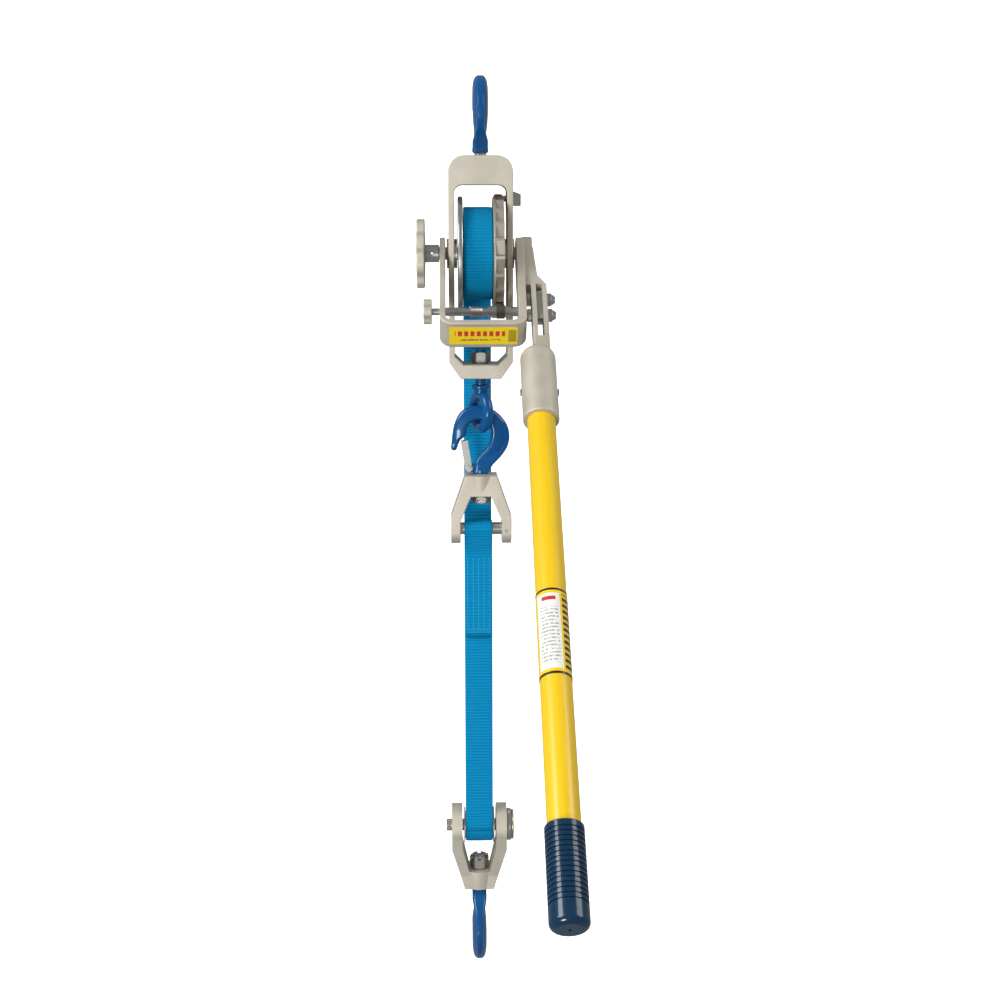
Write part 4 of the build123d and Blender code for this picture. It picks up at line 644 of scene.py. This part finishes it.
@dataclass
class StrapLine:
    """The whole strap: wound pack, outer turn, back run, bight, front run and sewn end."""

    width: float = 31.75 * MM
    thickness: float = 2.8 * MM
    wound: tuple = field(default_factory=lambda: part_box("strap_wound"))
    turn: tuple = field(default_factory=lambda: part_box("strap_outer_turn"))
    bight: tuple = field(default_factory=lambda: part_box("strap_bight"))
    sheave: tuple = field(default_factory=lambda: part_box("sheave"))
    pin: tuple = field(default_factory=lambda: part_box("strap_clevis_pin"))
    core_radius: float = 24.0 * MM
    wrap_end: float = 325.0
    sewn_length: float = 126.0 * MM
    stitch_pitch: float = 4.0 * MM

    def __post_init__(self) -> None:
        """Works out the strap's tangent points from the CAD boxes."""
        self.x = (self.wound[0][0] + self.wound[1][0]) / 2
        self.drum = ((self.wound[0][1] + self.wound[1][1]) / 2, (self.wound[0][2] + self.wound[1][2]) / 2)
        self.wheel = (self.drum[0], (self.sheave[0][2] + self.sheave[1][2]) / 2)
        self.pack_radius = (self.wound[1][1] - self.wound[0][1]) / 2
        self.ply = (self.turn[1][1] - self.turn[0][1]) / 2 - self.thickness / 2
        self.bight_ply = (self.bight[1][1] - self.bight[0][1]) / 2 - self.thickness / 2
        self.hang = (self.drum[0], (self.pin[0][2] + self.pin[1][2]) / 2)
        drop = self.drum[1] - self.wheel[1]
        self.back_lean = (self.ply - self.bight_ply) / drop
        hang_drop = self.hang[1] - self.wheel[1]
        self.front_lean = (self.bight_ply + self.thickness / 2) / hang_drop
        self.outline = webbing_outline(self.width, self.thickness)

    def piece(self, name: str, points: Sequence[tuple[float, float]]) -> bpy.types.Object:
        """Sweeps the webbing along a line and returns the piece."""
        mesh = mesh_from(name, lambda form: sweep(form, strap_path(points, self.x), self.outline))
        return new_piece(name, mesh, STRAP)

    def wound_pack(self) -> None:
        """Winds the inner turns as a spiral that shows its layers at the sides."""
        turns = int((self.pack_radius - self.core_radius) / (self.thickness * 0.98))
        first = self.core_radius + self.thickness / 2 + 0.0001
        last = self.pack_radius - self.thickness / 2
        points = []
        for step in range(turns * 60 + 1):
            angle = 2 * pi * step / 60
            radius = first + (last - first) * step / (turns * 60)
            points.append((self.drum[0] + radius * cos(angle), self.drum[1] + radius * sin(angle)))
        pack = self.piece("wound_strap", points)
        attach(pack, Rider.DRUM.value)
        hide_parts("strap_wound")
        report(pack, "drum")

    def outer_turn(self) -> None:
        """Lays the outermost turn, which the back run leaves."""
        start = -self.back_lean * 180 / pi
        turn = self.piece("strap_outermost_turn", arc(self.drum, self.ply, start, self.wrap_end, 90))
        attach(turn, Rider.FRAME.value)
        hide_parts("strap_outer_turn")
        report(turn, "frame")

    def runs(self) -> None:
        """Hangs the back and front runs, which stretch between frame and block."""
        lean = self.back_lean
        top = (self.drum[0] + self.ply * cos(lean), self.drum[1] - self.ply * sin(lean))
        low = (self.wheel[0] + self.bight_ply * cos(lean), self.wheel[1] - self.bight_ply * sin(lean))
        self.run("strap_back", "strap_back_run", top, low)
        lean = self.front_lean
        low = (self.wheel[0] - self.bight_ply * cos(lean), self.wheel[1] - self.bight_ply * sin(lean))
        top = self.hung(self.thickness / 2, -self.sewn_length)
        self.run("strap_front", "strap_front_run", top, low)

    def run(self, name: str, node: str, top: tuple[float, float], low: tuple[float, float]) -> None:
        """Makes one run, fixed in place from the frame to the block."""
        run = self.piece(name, straight(top, low, 40))
        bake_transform(run)
        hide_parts(node)
        report(run, "frame and block")

    def hung(self, y: float, z: float) -> tuple[float, float]:
        """A point below the clevis pin, leaned along the front run's line."""
        c, s = cos(self.front_lean), sin(self.front_lean)
        return (self.hang[0] + y * c + z * s, self.hang[1] - y * s + z * c)

    def bight_turn(self) -> None:
        """Lays the half turn round the sheave."""
        start = 180 + self.front_lean * 180 / pi
        end = 360 - self.back_lean * 180 / pi
        turn = self.piece("strap_bight_turn", arc(self.wheel, self.bight_ply, start, end, 30))
        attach(turn, Rider.BLOCK.value)
        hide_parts("strap_bight")
        report(turn, "block")

    def sewn_end(self) -> None:
        """Wraps the loop round the clevis pin and sews its two plies."""
        half = self.thickness / 2
        radius = (self.pin[1][1] - self.pin[0][1]) / 2 + 0.0001 + half
        join = -0.021
        points = [self.hung(y, z) for y, z in straight((-half, -self.sewn_length), (-half, join - 0.004), 16)]
        points += [self.hung(y, z) for y, z in arc((0, 0), radius, 200, -20, 26)]
        points += [self.hung(y, z) for y, z in straight((half, join - 0.004), (half, -self.sewn_length), 16)]
        end = self.piece("sewn_strap_end", points)
        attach(end, Rider.FRAME.value)
        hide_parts("strap_end_loop")
        report(end, "frame")
        self.stitches()

    def stitches(self) -> None:
        """Sews five lengthways rows and two cross rows through the front ply."""
        corner = self.hung(-self.thickness - 0.00005, -0.036)
        turn = Matrix.Rotation(-self.front_lean, 4, "X")
        side = self.width / 2 - 0.0035
        count = int((self.sewn_length - 0.036 - 0.005) / self.stitch_pitch)
        placed = Matrix.Translation((self.x - side, corner[0], corner[1])) @ turn
        rows = beads("lengthways_stitches", THREAD, placed, rows=5, per_row=count, row_step=(side / 2, 0, 0),
                     step=(0, 0, -self.stitch_pitch), bead=(0.00045, 0.00035, 0.0017), turn=(0, 0, 0))
        foot = self.hung(-self.thickness - 0.00005, -self.sewn_length + 0.0045)
        placed = Matrix.Translation((self.x - side, foot[0], foot[1])) @ turn
        cross = beads("cross_stitches", THREAD, placed, rows=2, per_row=8, row_step=(0, 0, 0.003),
                      step=(side / 3.5, 0, 0), bead=(0.0017, 0.00035, 0.00045), turn=(0, 0, 0))
        for sewing in (rows, cross):
            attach(sewing, Rider.FRAME.value)
            report(sewing, "frame")

    def build(self) -> None:
        """Builds every part of the strap in order."""
        self.wound_pack()
        self.outer_turn()
        self.runs()
        self.bight_turn()
        self.sewn_end()


# ------------------------------------------------------------------ springs and small parts


@dataclass
class CoilSpring:
    """A wound wire spring with its two legs."""

    name: str
    rider: Rider
    centre: tuple[float, float]
    start_x: float
    pitch: float
    turns: int
    radius: float
    wire: float = 0.0006
    legs: tuple[float, float] = (0.009, 0.009)
    leg_angle: float = 0.0

    def points(self) -> list[Vector]:
        """The wire's centre line from the end of one leg to the end of the other."""
        y, z = self.centre
        line = []
        for step in range(self.turns * 20 + 1):
            angle = self.leg_angle + 2 * pi * step / 20
            x = self.start_x + self.pitch * step / 20
            line.append(Vector((x, y + self.radius * cos(angle), z + self.radius * sin(angle))))
        way_in = (line[0] - line[1]).normalized()
        way_out = (line[-1] - line[-2]).normalized()
        return [line[0] + way_in * self.legs[0]] + line + [line[-1] + way_out * self.legs[1]]

    def build(self) -> bpy.types.Object:
        """Builds the spring as a tube, rides it and returns it."""
        line = self.points()
        outline = [(self.wire * cos(2 * pi * k / 8), self.wire * sin(2 * pi * k / 8)) for k in range(8)]
        path = []
        for step, place in enumerate(line):
            tangent = (line[min(step + 1, len(line) - 1)] - line[max(step - 1, 0)]).normalized()
            across = tangent.cross(Vector((1, 0, 0))).normalized()
            path.append((place, across, tangent.cross(across).normalized()))
        mesh = mesh_from(self.name, lambda form: sweep(form, path, outline))
        spring = new_piece(self.name, mesh, ZINC)
        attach(spring, self.rider.value)
        report(spring, self.rider.value)
        return spring


@dataclass
class ForgedHook:
    """A forged hook: the CAD's hook with the rounded wedge section of a drop forging.

    The section is full at the inside of the bowl and narrows to the back, as a crane hook's does.
    Lengths are those of a hook at scale 1. side is the axis square to the hook's flat sides.
    """

    node: str
    rider: Rider
    side: int
    hangs: bool
    scale: float
    height: float = 0.0775
    bowl_above_shoulder: float = 0.0475
    bowl_off_shank: float = 0.0024
    full_to: float = 0.0158
    outer: float = 0.0305
    edge: float = 0.5
    fade_start: float = 0.036
    fade_length: float = 0.014
    grain: float = 0.0009

    def build(self) -> bpy.types.Object:
        """Rounds the hook, thins its back, rides it and returns it."""
        source = frame["nodes"][self.node]
        holder = bpy.data.objects.new(self.node + "_maker", source.data.copy())
        holder.matrix_world = source.matrix_world.copy()
        bpy.context.scene.collection.objects.link(holder)
        shell = holder.modifiers.new("shell", "REMESH")
        shell.mode = "VOXEL"
        shell.voxel_size = self.grain
        bpy.context.view_layer.update()
        mesh = bpy.data.meshes.new_from_object(holder.evaluated_get(bpy.context.evaluated_depsgraph_get()))
        mesh.transform(holder.matrix_world)
        bpy.data.objects.remove(holder)
        self.thin(mesh)
        hook = new_piece(self.node + "_forging", mesh, ENAMEL)
        self.bare_shank(mesh)
        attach(hook, self.rider.value)
        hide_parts(self.node)
        report(hook, self.rider.value)
        return hook

    def thin(self, mesh: bpy.types.Mesh) -> None:
        """Narrows the hook from the inside of its bowl to its back, and smooths the skin."""
        low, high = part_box(self.node)
        middle = (low[self.side] + high[self.side]) / 2
        plane = 1 - self.side
        tip_side = self.tip_side(low, high, plane)
        crown, sign = self.crown(low, high)
        across = self.shank_place(plane) + tip_side * self.bowl_off_shank * self.scale
        height = crown - sign * (self.height - self.bowl_above_shoulder) * self.scale
        form = bmesh.new()
        form.from_mesh(mesh)
        for vert in form.verts:
            reach = Vector((vert.co[plane] - across, vert.co[2] - height)).length / self.scale
            share = min(max((reach - self.full_to) / (self.outer - self.full_to), 0.0), 1.0)
            below = sign * (height - vert.co[2]) / self.scale
            fade = min(max((self.fade_start - below) / self.fade_length, 0.0), 1.0)
            offset = vert.co[self.side] - middle
            round_off = (1 - (1 - self.edge ** 2) * share * share) ** 0.5
            vert.co[self.side] = middle + offset * (1 - (1 - round_off) * fade)
        every_axis = {"use_axis_x": True, "use_axis_y": True, "use_axis_z": True}
        bmesh.ops.smooth_vert(form, verts=form.verts, factor=0.5, **every_axis)
        for face in form.faces:
            face.smooth = True
        form.to_mesh(mesh)
        form.free()

    def bare_shank(self, mesh: bpy.types.Mesh) -> None:
        """Leaves the turned shank beyond the hook's shoulder unpainted."""
        crown, sign = self.crown(*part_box(self.node))
        shoulder = crown - sign * self.height * self.scale
        mesh.materials.append(ZINC.material())
        for face in mesh.polygons:
            if sign * (face.center[2] - shoulder) < 0:
                face.material_index = 1

    def crown(self, low: Sequence[float], high: Sequence[float]) -> tuple[float, int]:
        """The crown's height, and 1 for a hook that stands up or -1 for one that hangs."""
        return (low[2], -1) if self.hangs else (high[2], 1)

    def shank_place(self, plane: int) -> float:
        """The shank's place across the hook, from the nut on it."""
        low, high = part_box(self.node + "_nut")
        return (low[plane] + high[plane]) / 2

    def tip_side(self, low: Sequence[float], high: Sequence[float], plane: int) -> int:
        """The side that the hook's tip is on: its point lies a little further out than its back."""
        shank = self.shank_place(plane)
        return 1 if high[plane] - shank > shank - low[plane] else -1


# ------------------------------------------------------------------ CAD nodes


@dataclass
class CadFinishes:
    """Gives every CAD node that stays its material."""

    lever_tilt: float = 50.4
    sleeve_start: float = 0.468
    drop: float = 0.0

    def finish_of(self, node: str, slot_name: str) -> Finish:
        """The finish of a node, by its material slot and its place on the hoist.

        Args:
            node: The CAD node's name.
            slot_name: Its slot in the record.

        Returns:
            The finish.
        """
        tilt = radians(self.lever_tilt)
        axis = (0.0, -sin(tilt), -cos(tilt))
        shift = -self.drop * cos(tilt)
        if slot_name == "tube_yellow":
            look = {"roughness": 0.38, "coat": 0.25, "coat_roughness": 0.18}
            return Gelcoat("yellow_fibreglass", "#FFDA00", axis=axis, **look)
        if slot_name == "label_white":
            low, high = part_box(node)
            place = {"axis": axis, "start": self.sleeve_start - shift, "centre_x": (low[0] + high[0]) / 2}
            return SleeveFilm("printed_sleeve_film", "#ECECE8", roughness=0.3, coat=0.4, **place)
        if slot_name == "label_yellow":
            low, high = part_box(node)
            middle = tuple((a + b) / 2 for a, b in zip(low, high))
            place = {"up": (0, -cos(tilt), sin(tilt)), "middle": middle}
            return PlateFilm("printed_plate_film", "#FFDD00", roughness=0.35, coat=0.3, **place)
        if node == "ratchet_wheel":
            return BLASTED
        return {
            "cast_aluminium": CASTING,
            "hook_blue": ENAMEL,
            "grip_navy": VINYL,
            "steel": ZINC,
            "dark_steel": DARK,
            "bronze": BRONZE,
            "zinc_yellow": YELLOW_ZINC,
            "strap_blue": STRAP,
        }[slot_name]

    def build(self) -> None:
        """Assigns the materials."""
        slots = {entry["node"]: entry["material_slot"] for entry in frame["record"]["subparts"]}
        for node, thing in frame["nodes"].items():
            finish = self.finish_of(node, slots[node])
            made = finish.material()
            if not thing.material_slots:
                thing.data.materials.append(made)
            for place in thing.material_slots:
                place.material = made
            LOG.info("%s is finished in %s", node, finish.name)


# ------------------------------------------------------------------ studio


@dataclass
class Studio:
    """The pale floor and backdrop, the soft lights and the camera.

    The paper is hidden from reflections, so that the hoist mirrors only the air and the lights.
    """

    camera_place: tuple[float, float, float] = (-0.0312, -1.6825, -0.1248)
    pitch: float = 11.0
    yaw: float = 1.8
    lens: float = 54.0

    def backdrop(self) -> None:
        """A pale floor that curves up into a wall."""
        low = CAD_BOX[0][2] - 0.25
        bend = 1.5

        def build(form: bmesh.types.BMesh) -> None:
            """Makes the swept floor and wall."""
            profile = [(-6.0, low), (2.0, low)]
            for angle in range(6, 91, 6):
                turn = radians(angle)
                profile.append((2.0 + bend * sin(turn), low + bend - bend * cos(turn)))
            profile.append((2.0 + bend, low + 7.0))
            rows = [[form.verts.new((x, y, z)) for y, z in profile] for x in (-7.0, 7.0)]
            for k in range(len(profile) - 1):
                form.faces.new((rows[0][k], rows[1][k], rows[1][k + 1], rows[0][k + 1]))

        mesh = mesh_from("studio_floor", build)
        paper = Finish("matt_white_paper", "#F7F7F6", roughness=0.95)
        floor = new_piece("studio_floor", mesh, paper)
        glow = paper.material().node_tree.nodes["Principled BSDF"]
        glow.inputs["Emission Color"].default_value = linear("#FFFFFF")
        glow.inputs["Emission Strength"].default_value = 0.7
        floor.visible_glossy = False
        floor.visible_diffuse = False

    def light(self, name: str, place: tuple, target: tuple, size: float, power: float) -> None:
        """Adds a white square area light aimed at a target.

        Args:
            name: The light's name.
            place: Where it stands.
            target: What it is aimed at.
            size: The length of its side in metres.
            power: Its power in watts.
        """
        lamp = bpy.data.lights.new(name, "AREA")
        lamp.size = size
        lamp.energy = power
        thing = bpy.data.objects.new(name, lamp)
        thing.location = place
        aim = Vector(target) - Vector(place)
        thing.rotation_euler = aim.to_track_quat("-Z", "Y").to_euler()
        bpy.context.scene.collection.objects.link(thing)

    def build(self) -> None:
        """Builds the studio."""
        self.backdrop()
        world = bpy.data.worlds.new("studio_air")
        world.use_nodes = True
        world.node_tree.nodes["Background"].inputs[0].default_value = linear("#F4F6F8")
        world.node_tree.nodes["Background"].inputs[1].default_value = 0.34
        bpy.context.scene.world = world
        self.light("key", (-2.1, -1.1, 1.2), (0, 0, -0.4), 1.5, 62)
        self.light("fill", (2.3, -0.8, 1.1), (0, 0, -0.5), 1.5, 34)
        self.light("low_front", (-1.0, -2.6, -1.0), (0, 0, -0.35), 0.7, 40)
        self.light("back_wall", (0.0, 1.2, 1.6), (0, 3.5, 0.2), 2.5, 40)
        camera = bpy.data.cameras.new("camera")
        camera.lens = self.lens
        camera.sensor_width = 36.0
        thing = bpy.data.objects.new("camera", camera)
        thing.location = self.camera_place
        thing.rotation_euler = (radians(90 - self.pitch), 0, radians(-self.yaw))
        bpy.context.scene.collection.objects.link(thing)
        bpy.context.scene.camera = thing
        bpy.context.scene.view_settings.view_transform = "Standard"


def main() -> None:
    """Builds the hoist's looks in order."""
    logging.basicConfig(level=logging.INFO, format="%(message)s")
    strap = StrapLine()
    CadFinishes(drop=-strap.drum[1]).build()
    strap.build()
    ForgedHook("top_hook", Rider.TOP_HOOK, side=0, hangs=False, scale=82.4 / 77.5).build()
    ForgedHook("strap_hook", Rider.STRAP_HOOK, side=1, hangs=False, scale=1.0).build()
    ForgedHook("block_hook", Rider.BLOCK_HOOK, side=0, hangs=True, scale=93.0 / 77.5).build()
    low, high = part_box("drive_pawl_shaft")
    shaft = ((low[1] + high[1]) / 2, (low[2] + high[2]) / 2)
    coil = {"start_x": -0.012, "pitch": 0.0014, "turns": 9, "radius": 0.0056, "leg_angle": radians(200)}
    CoilSpring("drive_pawl_spring", Rider.DRIVE_PAWL, shaft, **coil).build()
    Studio().build()


if __name__ == "__main__":
    main()
